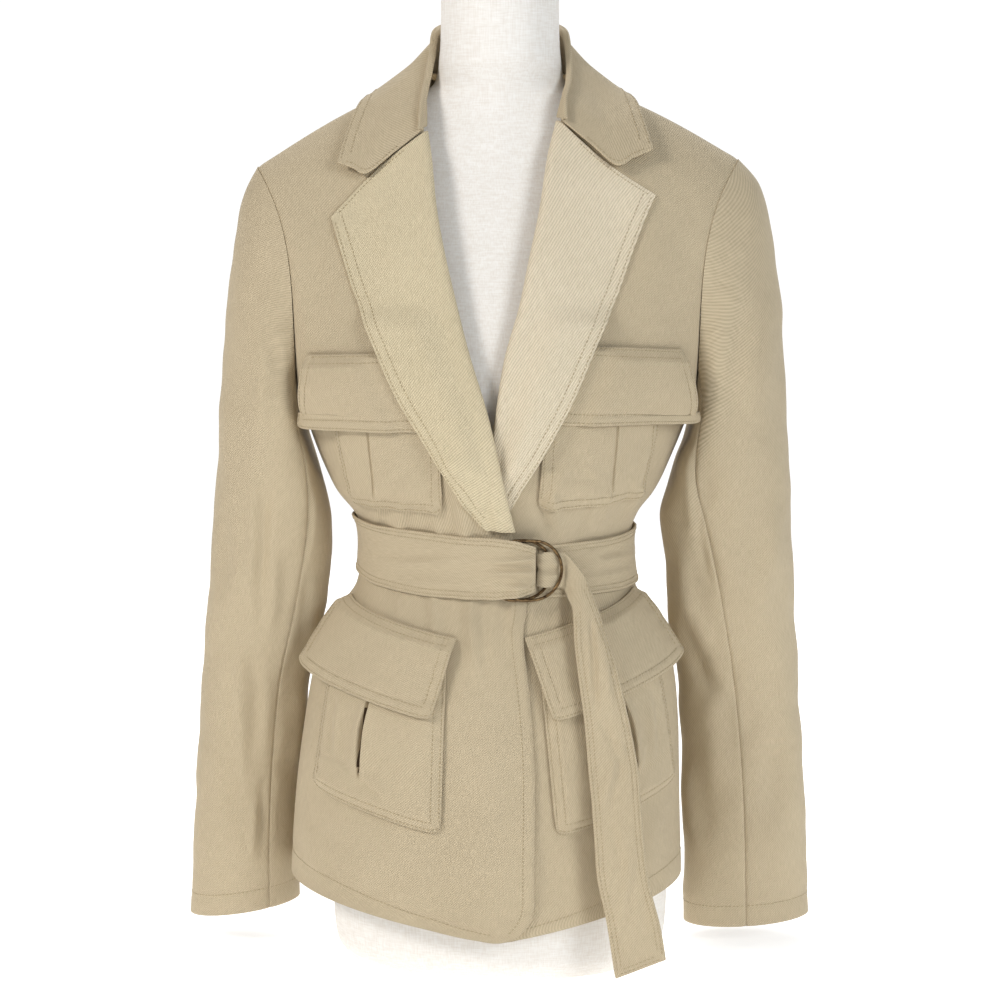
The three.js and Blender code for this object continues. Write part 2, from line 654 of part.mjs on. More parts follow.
// A point of a four-cornered patch on a front, u across and v down, with rounded low corners,
// and how far it is pressed flat under the lapel.
function patchPlace(side, patch, u, v) {
  const nearEnd = Math.max(0, 1 - Math.min(u, 1 - u) / CORNER);
  const down = v > 0.999 ? 1 - 0.55 * CORNER * nearEnd : v;
  const a = mix(mix(patch.innerTopA, patch.outerTopA, u), mix(patch.innerLowA, patch.outerLowA, u), down);
  const z = mix(mix(patch.innerTopZ, patch.outerTopZ, u), mix(patch.innerLowZ, patch.outerLowZ, u), down);
  return [a, z, underLapel(side, a, z)];
}

PATCH_NAMES.forEach((name, i) => {
  const side = PATCH_SIDES[i];
  const pocket = POCKETS[i];
  const across = [0, CORNER, 0.26, pocket.pleat - 0.1, pocket.pleat - PLEAT_WIDE / 2, pocket.pleat,
    pocket.pleat + PLEAT_WIDE / 2, pocket.pleat + 0.1, 1 - CORNER, 1];
  const downs = [0, 0.1, 0.28, 0.46, 0.64, 0.8, 0.92, 1];
  const grid = (out) => downs.map((v) => across.map((u) => {
    const [a, z, pressed] = patchPlace(side, pocket, u, v);
    const full = smooth(Math.min(u, 1 - u, 1 - v) / CORNER) * pocket.puff * (0.5 + 0.5 * smooth(v * 2.5));
    const inPleat = u === pocket.pleat && v < 0.9 ? PLEAT_DEEP * (1 - v * v) : 0;
    const stand = PATCH_GAP + Math.max(full - inPleat, 0) * (1 - pressed);
    return onFront(side, a, z, stand + out);
  }));
  place("pocket_" + name, wall(grid(CLOTH), grid(0)));
});

PATCH_NAMES.forEach((name, i) => {
  const side = PATCH_SIDES[i];
  const flap = FLAPS[i];
  const across = [0, 0.05, 0.14, 0.3, 0.45, 0.6, 0.75, 1 - CORNER, 1];
  const downs = [0, 0.07, 0.18, 0.45, 0.75, 1];
  const grid = (out) => downs.map((v) => across.map((u) => {
    const [a, z, pressed] = patchPlace(side, flap, u, v);
    const free = 4.7 * smooth(v / 0.18) + flap.lift * v * v * 0.5 + flap.flare * Math.max(0, u - 0.6) * 2.5 * v;
    const stand = PATCH_GAP + mix(free, 2.2 * smooth(v / 0.07), pressed);
    return onFront(side, a, z, stand + out);
  }));
  place("flap_" + name, wall(grid(DOUBLE_CLOTH), grid(0)));
});

// The belt, from the fold round the two ring bars, right round the waist to the rings again.
// Each row is one upright line of it: how far round, the height of its middle over the cloth
// below it, and its lower and upper edges. The first rows lie on the right front and are
// counted from the centre line, with the far side of it negative.
const BELT_THICK = 1.8;
const BELT_LOOP = table(
  "a out low high",
  [7, 1.8, 330, 358],
  [-8, 1.8, 329, 359],
  [-18, 1.8, 328, 361],
  [-23, 2.4, 328, 362],
  [-25.6, 4.8, 328, 363],
  [-23.6, 7.5, 326.5, 364],
  [-18, 8.9, 324.5, 366.5],
  [-12, 9.4, 323, 369],
  [-3.5, 8.7, 322, 370.5],
  [4, 7, 321, 371],
  [12, 4.4, 321, 371],
  [22, 2.6, 321, 371],
  [36, 2.4, 321, 371],
);
const BELT_END_A = 31;
const BELT_ROUND = table(
  "part place low high",
  [0, 0.32, 321, 372],
  [0, 0.43, 322, 372.5],
  [0, 0.54, 323, 373],
  [0, 0.65, 324, 374],
  [0, 0.76, 326, 374.5],
  [0, 0.87, 328, 375],
  [0, 0.97, 329, 375],
  [1, 0.94, 329, 375],
  [1, 0.84, 329, 375],
  [1, 0.72, 328, 375],
  [1, 0.6, 327, 375],
  [1, 0.45, 326, 374],
  [1, 0.3, 326, 374],
  [1, 0.15, 326, 374],
  [1, 0, 326, 374],
  [2, 0.15, 325, 373],
  [2, 0.3, 325, 373],
  [2, 0.45, 324, 372],
  [2, 0.6, 322, 370],
  [2, 0.72, 321, 368],
  [2, 0.84, 320, 366],
  [2, 0.94, 319, 365],
  [3, 0.97, 319, 365],
  [3, 0.87, 319, 364.5],
  [3, 0.76, 319, 364],
  [3, 0.65, 319, 363.5],
  [3, 0.54, 320, 363],
  [3, 0.43, 320.5, 363],
);
const BELT_OUT = 2.7;
const BELT_ROWS = [0, 0.25, 0.5, 0.75, 1];

// A point of a surface at place s across it that is z high, moved out by out.
function pointAt(surface, base, side, s, z, out) {
  let [low, high] = [0, TOP];
  for (let i = 0; i < 22; i++) {
    const middle = (low + high) / 2;
    if (base(side, s, middle)[2] < z) low = middle;
    else high = middle;
  }
  return surface(side, s, (low + high) / 2, out);
}

function beltLine(column, out) {
  const heights = BELT_ROWS.map((f) => mix(column.low, column.high, f));
  if (column.part === undefined) return heights.map((z) => onFront(column.side, column.a, z, out));
  const side = column.part < 2 ? RIGHT : LEFT;
  const front = column.part === 0 || column.part === 3;
  return heights.map((z) => front
    ? pointAt(frontPoint, frontBase, side, column.place, z, out)
    : pointAt(backPoint, backBase, side, column.place, z, out));
}

const beltColumns = [
  ...BELT_LOOP.map((row) => ({ ...row, side: RIGHT })),
  ...BELT_ROUND.map((row) => ({ ...row, out: BELT_OUT })),
  { side: LEFT, a: 46, out: 2, low: 321, high: 362 },
  { side: LEFT, a: BELT_END_A, out: 1.5, low: 322, high: 362 },
];
const beltMiddle = beltColumns.map((column) => beltLine(column, column.out));
place("belt", wall(thicken(beltMiddle, BELT_THICK / 2), thicken(beltMiddle, -BELT_THICK / 2)));

// The two rings, alike, each a straight bar held in the belt's fold and a round bow. The bar
// and the bow are given as x and y, and the rear ring lies flatter.
const RING_WIRE = 1.2;
const RING_HALF = 23.5;
const RING_Z = 344;
const RINGS_TWO = table(
  "barX barY bowX bowY",
  [3.5, -103.2, 40.8, -92],
  [12, -104, 48.4, -95.3],
);

// A round wire bent along a closed path of points.
function loopTube(path, radius, sides) {
  const many = path.length;
  const middle = path.reduce((sum, p) => add(sum, p, 1 / many), [0, 0, 0]);
  const points = [];
  path.forEach((point, i) => {
    const along = unit(add(path[(i + 1) % many], path[(i + many - 1) % many], -1));
    const inward = add(middle, point, -1);
    const across = unit(cross(along, inward));
    const out = unit(cross(across, along));
    for (let k = 0; k < sides; k++) {
      const angle = (360 * RADIANS * k) / sides;
      points.push(add(add(point, out, radius * Math.cos(angle)), across, radius * Math.sin(angle)));
    }
  });
  const faces = [];
  for (let i = 0; i < many; i++) {
    for (let k = 0; k < sides; k++) {
      const [a, b] = [i * sides + k, i * sides + ((k + 1) % sides)];
      const [c, d] = [a, b].map((v) => (v + sides) % (many * sides));
      faces.push(a, b, d, a, d, c);
    }
  }
  return solid(points, faces);
}

// A ring's path as shares of the way from bar to bow, and of its half height.
function ringPath(ring) {
  const bow = span(-90, 90, 14).map((angle) => {
    const rad = angle * RADIANS;
    return [0.38 + 0.62 * Math.cos(rad), Math.sin(rad)];
  });
  const shape = [...bow, [0.2, 1], [0.06, 0.97], [0, 0.88], [0, 0.4], [0, -0.4], [0, -0.88],
    [0.06, -0.97], [0.2, -1]];
  return shape.map(([f, h]) =>
    [mix(ring.barX, ring.bowX, f), mix(ring.barY, ring.bowY, f), RING_Z + RING_HALF * h]);
}

place("ring_inner", loopTube(ringPath(RINGS_TWO[0]), RING_WIRE, 6), BRASS);
place("ring_outer", loopTube(ringPath(RINGS_TWO[1]), RING_WIRE, 6), BRASS);

// The belt's tail, from the turn inside the rings, over the rear bow and under the front one,
// down to its free end. Each row is one line across it, from its lower or inner edge to its
// upper or outer edge, with the depth of each and how far the middle stands forward.
const TAIL = table(
  "inX inY inZ outX outY outZ bow",
  [29.5, -95.1, 331, 29.5, -95.1, 357, 0.3],
  [32.5, -96.6, 330.5, 32.5, -96.6, 357, 0.4],
  [36.5, -96.4, 330, 36.5, -96.4, 357.5, 0.4],
  [41, -94.8, 330, 41, -94.8, 357.5, 0.3],
  [45, -92.8, 329.5, 45, -92.6, 357, 0.2],
  [49.5, -91, 328.5, 50, -90.6, 356.5, 0],
  [52.5, -93, 325, 57, -91.5, 350, 1],
  [54.5, -98, 320, 66, -95, 338, 2],
  [57, -103, 314.5, 73.5, -99, 321, 3],
  [58, -108, 303, 80, -103, 303, 3],
  [58.6, -111, 288, 85, -108, 288, 3],
  [61.4, -115, 264, 91.5, -113, 266, 3],
  [66.5, -118, 226, 101.5, -115, 223, 2],
  [69.7, -120, 189, 108, -116, 188, 1.5],
  [72.2, -121, 165, 110, -117, 164, 1],
  [74.7, -121, 132, 112.8, -117, 131, 1],
  [77.3, -121, 100, 117, -117, 98, 1.5],
  [84.6, -120, 66, 126.5, -115, 61, 1],
  [91.9, -119, 19, 131.3, -114, 32.5, 0],
);

const tail = TAIL.map((row) => span(0, 1, 4).map((f) => {
  const middle = between([row.inX, row.inY, row.inZ], [row.outX, row.outY, row.outZ], f);
  return add(middle, [0, -1, 0], row.bow * 4 * f * (1 - f));
}));
place("belt_tail", wall(thicken(tail, 1), thicken(tail, -1)));

// The dress form, a smooth closed stack from its flat base to the top of its neck: the height
// of a section, half its width, its front and back, and how square its outline is.
const FORM = table(
  "z half front back square",
  [0, 118, -70, 78, 2.2],
  [2, 124, -76, 84, 2.2],
  [10, 132, -83, 91, 2.2],
  [26, 138, -88, 95, 2.2],
  [80, 140, -92, 98, 2.2],
  [150, 141, -93, 99, 2.2],
  [210, 137, -92, 97, 2.2],
  [260, 124, -84, 86, 2.1],
  [300, 109, -78, 74, 2.05],
  [345, 98, -76, 64, 2],
  [390, 106, -83, 67, 2],
  [430, 121, -92, 77, 2.1],
  [475, 134, -98, 84, 2.2],
  [515, 142, -92, 90, 2.15],
  [555, 150, -80, 93, 2.1],
  [590, 156, -68, 92, 2],
  [620, 161, -58, 82, 1.85],
  [642, 162, -50, 70, 1.7],
  [656, 160, -45, 62, 1.55],
  [670, 150, -41, 54, 1.45],
  [684, 126, -37, 47, 1.4],
  [698, 98, -33, 41, 1.4],
  [710, 71.5, -31, 37, 1.45],
  [719, 55.5, -31, 37, 1.6],
  [728, 50.5, -33, 42, 1.85],
  [740, 49, -38, 50, 2],
  [756, 47.6, -38, 50, 2],
  [788, 47.2, -38, 50, 2],
  [810, 46.8, -37.5, 50, 2],
  [816, 44, -35, 47, 2],
  [818, 38, -29, 41, 2],
);
const FORM_AROUND = 30;

function formRing(row) {
  const [deep, middle] = [(row.back - row.front) / 2, (row.back + row.front) / 2];
  return Array.from({ length: FORM_AROUND }, (_, i) => {
    const angle = (360 * RADIANS * i) / FORM_AROUND;
    const [c, s] = [Math.cos(angle), Math.sin(angle)];
    const power = (v) => Math.sign(v) * Math.abs(v) ** (2 / row.square);
    return [row.half * power(c), middle + deep * power(s), row.z];
  });
}

place("form_torso", stack(FORM.map(formRing)), LINEN);

export default jacket;
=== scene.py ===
import math

import bpy
import numpy as np
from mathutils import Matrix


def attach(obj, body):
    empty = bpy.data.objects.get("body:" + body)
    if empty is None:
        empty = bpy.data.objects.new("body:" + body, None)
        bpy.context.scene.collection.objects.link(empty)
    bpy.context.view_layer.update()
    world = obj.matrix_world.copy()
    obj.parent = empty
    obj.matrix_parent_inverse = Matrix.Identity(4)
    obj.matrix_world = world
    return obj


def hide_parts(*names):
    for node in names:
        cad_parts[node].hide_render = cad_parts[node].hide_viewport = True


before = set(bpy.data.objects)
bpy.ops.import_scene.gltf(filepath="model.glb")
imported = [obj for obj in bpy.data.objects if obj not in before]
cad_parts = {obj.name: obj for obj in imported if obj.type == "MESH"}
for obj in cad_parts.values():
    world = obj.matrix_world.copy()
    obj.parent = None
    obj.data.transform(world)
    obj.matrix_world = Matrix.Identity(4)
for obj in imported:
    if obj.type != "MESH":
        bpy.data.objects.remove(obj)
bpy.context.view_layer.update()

# Studio
# The jacket was photographed straight on, a little from above, on a plain white ground. The
# stage is a pale floor that fades into a white surround, lit by large soft lamps.
PHOTO_EYE = (0.0, -2.0, 0.680)
PHOTO_TILT = math.atan2(295, 2000)
PHOTO_LENS = 88.75


def srgb(text):
    """A hex colour as it is written for a screen, turned to the linear colour nodes take."""
    parts = [int(text[i:i + 2], 16) / 255 for i in (0, 2, 4)]
    return tuple(v / 12.92 if v <= 0.04045 else ((v + 0.055) / 1.055) ** 2.4 for v in parts) + (1.0,)


def new_material(name, values):
    """A material with one shader, and the numbers on the shader's sockets."""
    material = bpy.data.materials.new(name)
    material.use_nodes = True
    shader = material.node_tree.nodes["Principled BSDF"]
    for socket, value in values.items():
        shader.inputs[socket].default_value = value
    return material, shader


def add_node(material, kind, settings=None, links=None, values=None):
    """Adds one node: its own settings, the numbers on its sockets, and what runs into them."""
    node = material.node_tree.nodes.new(kind)
    for name, value in (settings or {}).items():
        setattr(node, name, value)
    for name, value in (values or {}).items():
        node.inputs[name].default_value = value
    for name, source in (links or {}).items():
        material.node_tree.links.new(source, node.inputs[name])
    return node


def deselect_all():
    if bpy.context.object and bpy.context.object.mode != "OBJECT":
        bpy.ops.object.mode_set(mode="OBJECT")
    bpy.ops.object.select_all(action="DESELECT")


bpy.ops.object.camera_add(location=PHOTO_EYE, rotation=(math.pi / 2 - PHOTO_TILT, 0, 0))
camera = bpy.context.object
camera.name = "photo_camera"
camera.data.lens = PHOTO_LENS
camera.data.sensor_width = 36
camera.data.clip_end = 50
bpy.context.scene.camera = camera

deselect_all()
bpy.ops.mesh.primitive_plane_add(size=3.4, location=(0, 0.3, -0.0006))
floor = bpy.context.object
floor.name = "studio_floor"
floor.data.materials.append(new_material("matt_white_studio_floor", {
    "Base Color": srgb("f4f4f3"), "Roughness": 0.9, "Emission Color": (1, 1, 1, 1),
    "Emission Strength": 0.6})[0])

world = bpy.data.worlds.new("white_surround")
world.use_nodes = True
backdrop = world.node_tree.nodes["Background"]
backdrop.inputs["Color"].default_value = (1, 1, 1, 1)
# The surround is a bright white sweep behind the jacket and a dimmer room in front of it.
way = add_node(world, "ShaderNodeTexCoord").outputs["Generated"]
facing_back = add_node(world, "ShaderNodeSeparateXYZ", links={0: way})
sweep = add_node(world, "ShaderNodeMapRange", links={"Value": facing_back.outputs[1]},
                 values={"From Min": 0.35, "From Max": 0.85, "To Min": 0.24, "To Max": 1.05})
world.node_tree.links.new(sweep.outputs[0], backdrop.inputs["Strength"])
bpy.context.scene.world = world
bpy.context.scene.view_settings.view_transform = "Standard"

for name, place, size, watts, tint in (
    ("key_lamp", (-1.7, -1.4, 1.8), 0.6, 30, (1, 0.97, 0.94)),
    ("fill_lamp", (1.9, -2.3, 1.5), 1.1, 37, (0.9, 0.95, 1)),
    ("rear_lamp", (0.2, 1.6, 2.6), 1.8, 34, (1, 1, 1)),
):
    lamp_data = bpy.data.lights.new(name, "AREA")
    lamp_data.energy = watts
    lamp_data.size = size
    lamp_data.color = tint
    lamp = bpy.data.objects.new(name, lamp_data)
    lamp.location = place
    aim = [0 - place[0], 0 - place[1], 0.42 - place[2]]
    flat = math.hypot(aim[0], aim[1])
    lamp.rotation_euler = (math.atan2(flat, -aim[2]), 0, math.atan2(aim[1], aim[0]) - math.pi / 2)
    bpy.context.scene.collection.objects.link(lamp)

# Dress form
# A limbless shop form: a hollow shell with a cover of off-white linen drawn tight over it. It
# is made from one sphere, each of whose rings is laid on a section of the torso.
FORM_SECTIONS = np.array([
    # z, half width, front, back, how square
    [0, 118, -70, 78, 2.2],
    [2, 124, -76, 84, 2.2],
    [10, 132, -83, 91, 2.2],
    [26, 138, -88, 95, 2.2],
    [80, 140, -92, 98, 2.2],
    [150, 141, -93, 99, 2.2],
    [210, 137, -92, 97, 2.2],
    [260, 124, -84, 86, 2.1],
    [300, 109, -78, 74, 2.05],
    [345, 98, -76, 64, 2],
    [390, 106, -83, 67, 2],
    [430, 121, -92, 77, 2.1],
    [475, 134, -98, 84, 2.2],
    [515, 142, -92, 90, 2.15],
    [555, 150, -80, 93, 2.1],
    [590, 156, -68, 92, 2],
    [620, 161, -58, 82, 1.85],
    [642, 162, -50, 70, 1.7],
    [656, 160, -45, 62, 1.55],
    [670, 150, -41, 54, 1.45],
    [684, 126, -37, 47, 1.4],
    [698, 98, -33, 41, 1.4],
    [710, 71.5, -31, 37, 1.45],
    [719, 55.5, -31, 37, 1.6],
    [728, 50.5, -33, 42, 1.85],
    [740, 49, -38, 50, 2],
    [756, 47.6, -38, 50, 2],
    [788, 47.2, -38, 50, 2],
    [810, 46.8, -37.5, 50, 2],
    [816, 44, -35, 47, 2],
    [818, 38, -29, 41, 2],
])
FORM_AROUND = 96
FORM_STEPS = 4


def through_rows(rows, t):
    """All the columns of a table of rows at places t, on a smooth curve through the rows."""
    last = len(rows) - 1
    i = np.clip(np.floor(t).astype(int), 0, last - 1)
    f = (t - i)[..., None]
    a, b, c, d = (rows[np.clip(i + k, 0, last)] for k in (-1, 0, 1, 2))
    return b + 0.5 * f * (c - a + f * (2 * a - 5 * b + 4 * c - d + f * (3 * (b - c) + d - a)))


def select_only(piece):
    deselect_all()
    piece.select_set(True)
    bpy.context.view_layer.objects.active = piece


form_rings = (len(FORM_SECTIONS) - 1) * FORM_STEPS + 1
deselect_all()
bpy.ops.mesh.primitive_uv_sphere_add(segments=FORM_AROUND, ring_count=form_rings + 1)
dress_form = bpy.context.object
dress_form.name = "linen_form"
sphere = np.empty(len(dress_form.data.vertices) * 3)
dress_form.data.vertices.foreach_get("co", sphere)
sphere = sphere.reshape(-1, 3)
ring_of = np.rint(np.arccos(np.clip(-sphere[:, 2], -1, 1)) / math.pi * (form_rings + 1)) - 1
turn = np.arctan2(sphere[:, 1], sphere[:, 0])
section = through_rows(FORM_SECTIONS, np.clip(ring_of / FORM_STEPS, 0, len(FORM_SECTIONS) - 1))
power = 2 / section[:, 4]
reach = np.where((ring_of < 0) | (ring_of >= form_rings), 0, 1)
deep = (section[:, 3] - section[:, 2]) / 2
sphere[:, 0] = reach * section[:, 1] * np.sign(np.cos(turn)) * np.abs(np.cos(turn)) ** power
sphere[:, 1] = (section[:, 3] + section[:, 2]) / 2 + reach * deep * np.sign(np.sin(turn)) * (
    np.abs(np.sin(turn)) ** power)
sphere[:, 2] = section[:, 0]
dress_form.data.vertices.foreach_set("co", (sphere / 1000).ravel())
select_only(dress_form)
bpy.ops.object.shade_smooth_by_angle(angle=math.radians(50))

# Bleached linen, plain weave: slubby threads of uneven width, matt, with a faint warm cast.
linen, linen_shader = new_material("bleached_linen_plain_weave",
                                   {"Roughness": 0.88, "Sheen Weight": 0.08})
linen_place = add_node(linen, "ShaderNodeTexCoord").outputs["Object"]
# Threads stand about 1.1 mm apart, coarser than real linen so that they show.
warp_slubs = add_node(linen, "ShaderNodeMapping", links={"Vector": linen_place},
                      values={"Scale": (900, 900, 90)})
weft_slubs = add_node(linen, "ShaderNodeMapping", links={"Vector": linen_place},
                      values={"Scale": (110, 110, 900)})
warp_noise = add_node(linen, "ShaderNodeTexNoise", links={"Vector": warp_slubs.outputs[0]},
                      values={"Scale": 1, "Detail": 1})
weft_noise = add_node(linen, "ShaderNodeTexNoise", links={"Vector": weft_slubs.outputs[0]},
                      values={"Scale": 1, "Detail": 1})
linen_threads = add_node(linen, "ShaderNodeMath", {"operation": "ADD"},
                         {0: warp_noise.outputs[0], 1: weft_noise.outputs[0]})
linen_tint = add_node(linen, "ShaderNodeMapRange", links={"Value": linen_threads.outputs[0]},
                      values={"From Min": 0.7, "From Max": 1.3})
linen_mix = add_node(linen, "ShaderNodeMix", {"data_type": "RGBA"},
                     {"Factor": linen_tint.outputs[0]},
                     {6: srgb("ece6de"), 7: srgb("f8f5f0")})
linen_bump = add_node(linen, "ShaderNodeBump", links={"Height": linen_threads.outputs[0]},
                      values={"Strength": 0.35, "Distance": 0.0003})
linen.node_tree.links.new(linen_mix.outputs[2], linen_shader.inputs["Base Color"])
linen.node_tree.links.new(linen_bump.outputs[0], linen_shader.inputs["Normal"])
dress_form.data.materials.append(linen)
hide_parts("form_torso")
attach(dress_form, "root")

# Back
# One panel of khaki cotton twill from side seam to side seam, sewn to the fronts at the
# shoulders and sides. It is a thin wall on its solid's form, with soft creases at the waist.
# All the body tables give millimetres, a row for each level from the hem to the shoulder.
BODY = np.array([
    # z, y, edge right, edge left, z side, side right, side left, arm, round, lift, z back, y back
    [45, -113, 27, 28, 73, 175, 152, 180, 1, 2.6, 62, 106],
    [112, -113, 27, 28, 134, 171, 150, 180, 1, 2.6, 125, 108],
    [190, -111, 27, 28, 204, 162, 148, 180, 1, 2.6, 200, 109],
    [245, -106, 23, 28, 255, 152, 142, 180, 1, 2.6, 252, 104],
    [290, -100, 18, 28, 290, 138, 128, 180, 1, 2.6, 290, 94],
    [320, -95, 20, 28, 318, 118, 111, 180, 1, 2.8, 318, 84],
    [370, -95, 9, 22, 366, 115, 109, 180, 1, 5, 366, 78],
    [408, -103, 0, 9, 402, 138, 131, 180, 1, 7.6, 404, 84],
    [463, -107, -13, 0, 467, 163, 158, 180, 0.96, 6.4, 467, 98],
    [509, -103, -27, -8, 484, 163, 158, 150, 0.9, 2.4, 500, 104],
    [547, -95, -37, -19, 512, 164, 159, 125, 0.8, 0, 535, 108],
    [585, -84, -46, -27, 545, 165, 160, 102, 0.7, 0, 572, 110],
    [623, -71, -53, -35, 580, 167, 162, 80, 0.6, 0, 610, 107],
    [662, -54, -57, -41, 612, 174, 168, 57, 0.5, 0, 650, 98],
    [698, -32, -62, -50, 640, 186, 180, 33, 0.35, 0, 690, 80],
    [727, 5, -62, -57, 656, 195, 190, 0, 0, 0, 722, 58],
], float)
TOP, UNDERARM = 15, 8
SHOULDER_Y = 5
CLOTH = 1.6
RIGHT = {"name": "right", "sign": -1, "tip": (195, 656), "under": (163, 467), "edge": 2, "side": 5}
LEFT = {"name": "left", "sign": 1, "tip": (192, 662), "under": (158, 467), "edge": 3, "side": 6}


def mix(a, b, f):
    return a + (b - a) * f


def smooth(v):
    v = np.clip(v, 0, 1)
    return v * v * (3 - 2 * v)


def unit(v):
    return v / np.maximum(np.linalg.norm(v, axis=-1, keepdims=True), 1e-9)


def armhole(side, angle):
    """A point of the armhole: 0 is the shoulder tip, 180 the underarm, and the front positive."""
    c, s = np.cos(np.radians(angle)), np.sin(np.radians(angle))
    rise = (1 + c) / 2
    x = mix(side["under"][0], side["tip"][0], rise ** 4.5)
    y = SHOULDER_Y - s * np.where(s > 0, 60, 50)
    return np.stack([side["sign"] * x, y, mix(side["under"][1], side["tip"][1], rise)], -1)


def side_end(side, row, t, facing):
    arm = armhole(side, facing * row[..., 7])
    seam = np.stack([side["sign"] * row[..., side["side"]], 0 * t + SHOULDER_Y, row[..., 4]], -1)
    return np.where((t >= UNDERARM)[..., None], arm, seam)


def front_base(side, s, t):
    row = through_rows(BODY, t)
    end = side_end(side, row, t, 1)
    start = np.maximum(0, -row[..., side["edge"]])
    angle = np.pi / 2 * s
    across = mix(s, np.sin(angle), row[..., 8])
    deep = mix(1 - np.abs(s), np.cos(angle), row[..., 8])
    x = side["sign"] * mix(start, side["sign"] * end[..., 0], across)
    rise = 5 * np.sin(np.pi * s) * np.clip((t - TOP + 3) / 3, 0, 1) ** 2
    return np.stack([x, mix(end[..., 1], row[..., 1], deep),
                     mix(row[..., 0], end[..., 2], across) + rise], -1)


NECK_PLACE = 0.32


def back_section(side, s, t):
    row = through_rows(BODY, t)
    end = side_end(side, row, t, -1)
    angle = np.pi / 2 * s
    turned = mix(1, 0.5, np.clip((t - UNDERARM) / (TOP - UNDERARM), 0, 1))
    across = mix(s, np.sin(angle), turned)
    deep = mix(1 - np.abs(s), np.cos(angle), turned)
    return np.stack([end[..., 0] * across, mix(end[..., 1], row[..., 11], deep),
                     mix(row[..., 10], end[..., 2], across)], -1)


def back_top(side, s):
    top = np.full_like(s, TOP)
    shoulder = front_base(side, np.clip((s - NECK_PLACE) / (1 - NECK_PLACE), 0, 1), top)
    neck = front_base(side, 0 * s, top)
    turned = np.pi / 2 * s / NECK_PLACE
    nape = np.stack([neck[..., 0] * np.sin(turned), mix(neck[..., 1], 58, np.cos(turned)),
                     mix(722, neck[..., 2], s / NECK_PLACE)], -1)
    return np.where((s > NECK_PLACE)[..., None], shoulder, nape)


def back_base(side, s, t):
    place = np.abs(s)
    near_top = np.clip((t - TOP + 2.5) / 2.5, 0, 1)[..., None] ** 1.5
    top = np.full_like(t, TOP)
    change = back_top(side, place) - back_section(side, place, top)
    point = back_section(side, place, t) + change * near_top
    return point * np.where((s < 0)[..., None], [-1, 1, 1], [1, 1, 1])


def way_out(surface, side, s, t):
    step = 0.01
    across = surface(side, s + step, t) - surface(side, s - step, t)
    up = surface(side, s, np.minimum(t + step, TOP)) - surface(side, s, np.maximum(t - step, 0))
    return unit(np.cross(across, up)) * side["sign"]


def armhole_out(angle):
    rad = np.radians(angle)
    return np.stack([0 * rad, -np.sin(rad), np.cos(rad)], -1)


def cut_at_armhole(side, point, base, normal, facing, out, s, t):
    """At the armhole the wall is cut along the seam, so that it meets the sleeve's."""
    on_seam = ((t >= UNDERARM) & (s > 0.999))[..., None]
    arm = through_rows(BODY, t)[..., 7]
    turned = base + unit(normal + armhole_out(facing * arm)) * out[..., None]
    turned[..., 0] = side["sign"] * np.minimum(np.abs(turned[..., 0]), np.abs(base[..., 0]))
    return np.where(on_seam, turned, point)


def back_point(side, s, t, out):
    out = out + 0 * s
    base = back_base(side, s, t)
    normal = -way_out(back_base, side, np.maximum(s, 0.02), t)
    normal = np.where((s < 0.004)[..., None], unit(normal * [0, 1, 1]), normal)
    point = base + normal * out[..., None]
    point = cut_at_armhole(side, point, base, normal, -1, out, s, t)
    shoulder = (t >= TOP) & (s >= NECK_PLACE)
    point[..., 1] = np.where(shoulder, np.maximum(point[..., 1], base[..., 1]), point[..., 1])
    point[..., 1] += 0.15 * (((s > 0.999) & (t <= UNDERARM)) | shoulder)
    point[..., 0] -= 0.15 * side["sign"] * ((s > 0.999) & (t >= UNDERARM))
    return point


def ripple(points, size, high, seed):
    """Slow uneven waves of the cloth, the same each time, about size mm long."""
    x, y, z = (points[..., i] / size for i in range(3))
    a = np.sin(6.1 * x + 2.3 * np.sin(1.7 * z + seed) + seed)
    b = np.sin(5.3 * z + 1.9 * np.sin(2.1 * x - seed) + 1.7 * y + 2 * seed)
    c = np.sin(4.1 * y + 3.3 * x - 2.7 * z + 3 * seed)
    return high * (a * b + 0.6 * c * a) / 1.4


def creases(points, rows, heart=12):
    """Soft ridges, and troughs where high is less than 0. A row is one crease: which way its
    side faces (-1 front, 1 back), its start and end as x and z, its width, height and bow.
    heart is the depth that parts front from back."""
    height = np.zeros(points.shape[:-1])
    for facing, x0, z0, x1, z1, wide, high, bow in rows:
        run = np.array([x1 - x0, z1 - z0], float)
        length = np.hypot(*run)
        run /= length
        px, pz = points[..., 0] - x0, points[..., 2] - z0
        along = (px * run[0] + pz * run[1]) / length
        off = px * -run[1] + pz * run[0] - bow * np.sin(np.pi * np.clip(along, 0, 1))
        ends = smooth(along / 0.3) * smooth((1 - along) / 0.4)
        faces = smooth(facing * (points[..., 1] - heart) / 20 + 0.5)
        height += high * ends * faces * (np.exp(-(off / wide) ** 2)
                                         - 0.35 * np.exp(-((off - 1.9 * wide) / wide) ** 2))
    return height


def run_along(grid, axis):
    """Distance along the rows or columns of a grid of points, in millimetres."""
    steps = np.linalg.norm(np.diff(grid, axis=axis), axis=-1)
    first = np.zeros_like(np.take(steps, [0], axis=axis))
    return np.cumsum(np.concatenate([first, steps], axis=axis), axis=axis)


def piece_of(name, mesh, finish):
    mesh.shade_smooth()
    mesh.materials.append(finish)
    piece = bpy.data.objects.new(name, mesh)
    bpy.context.scene.collection.objects.link(piece)
    return piece


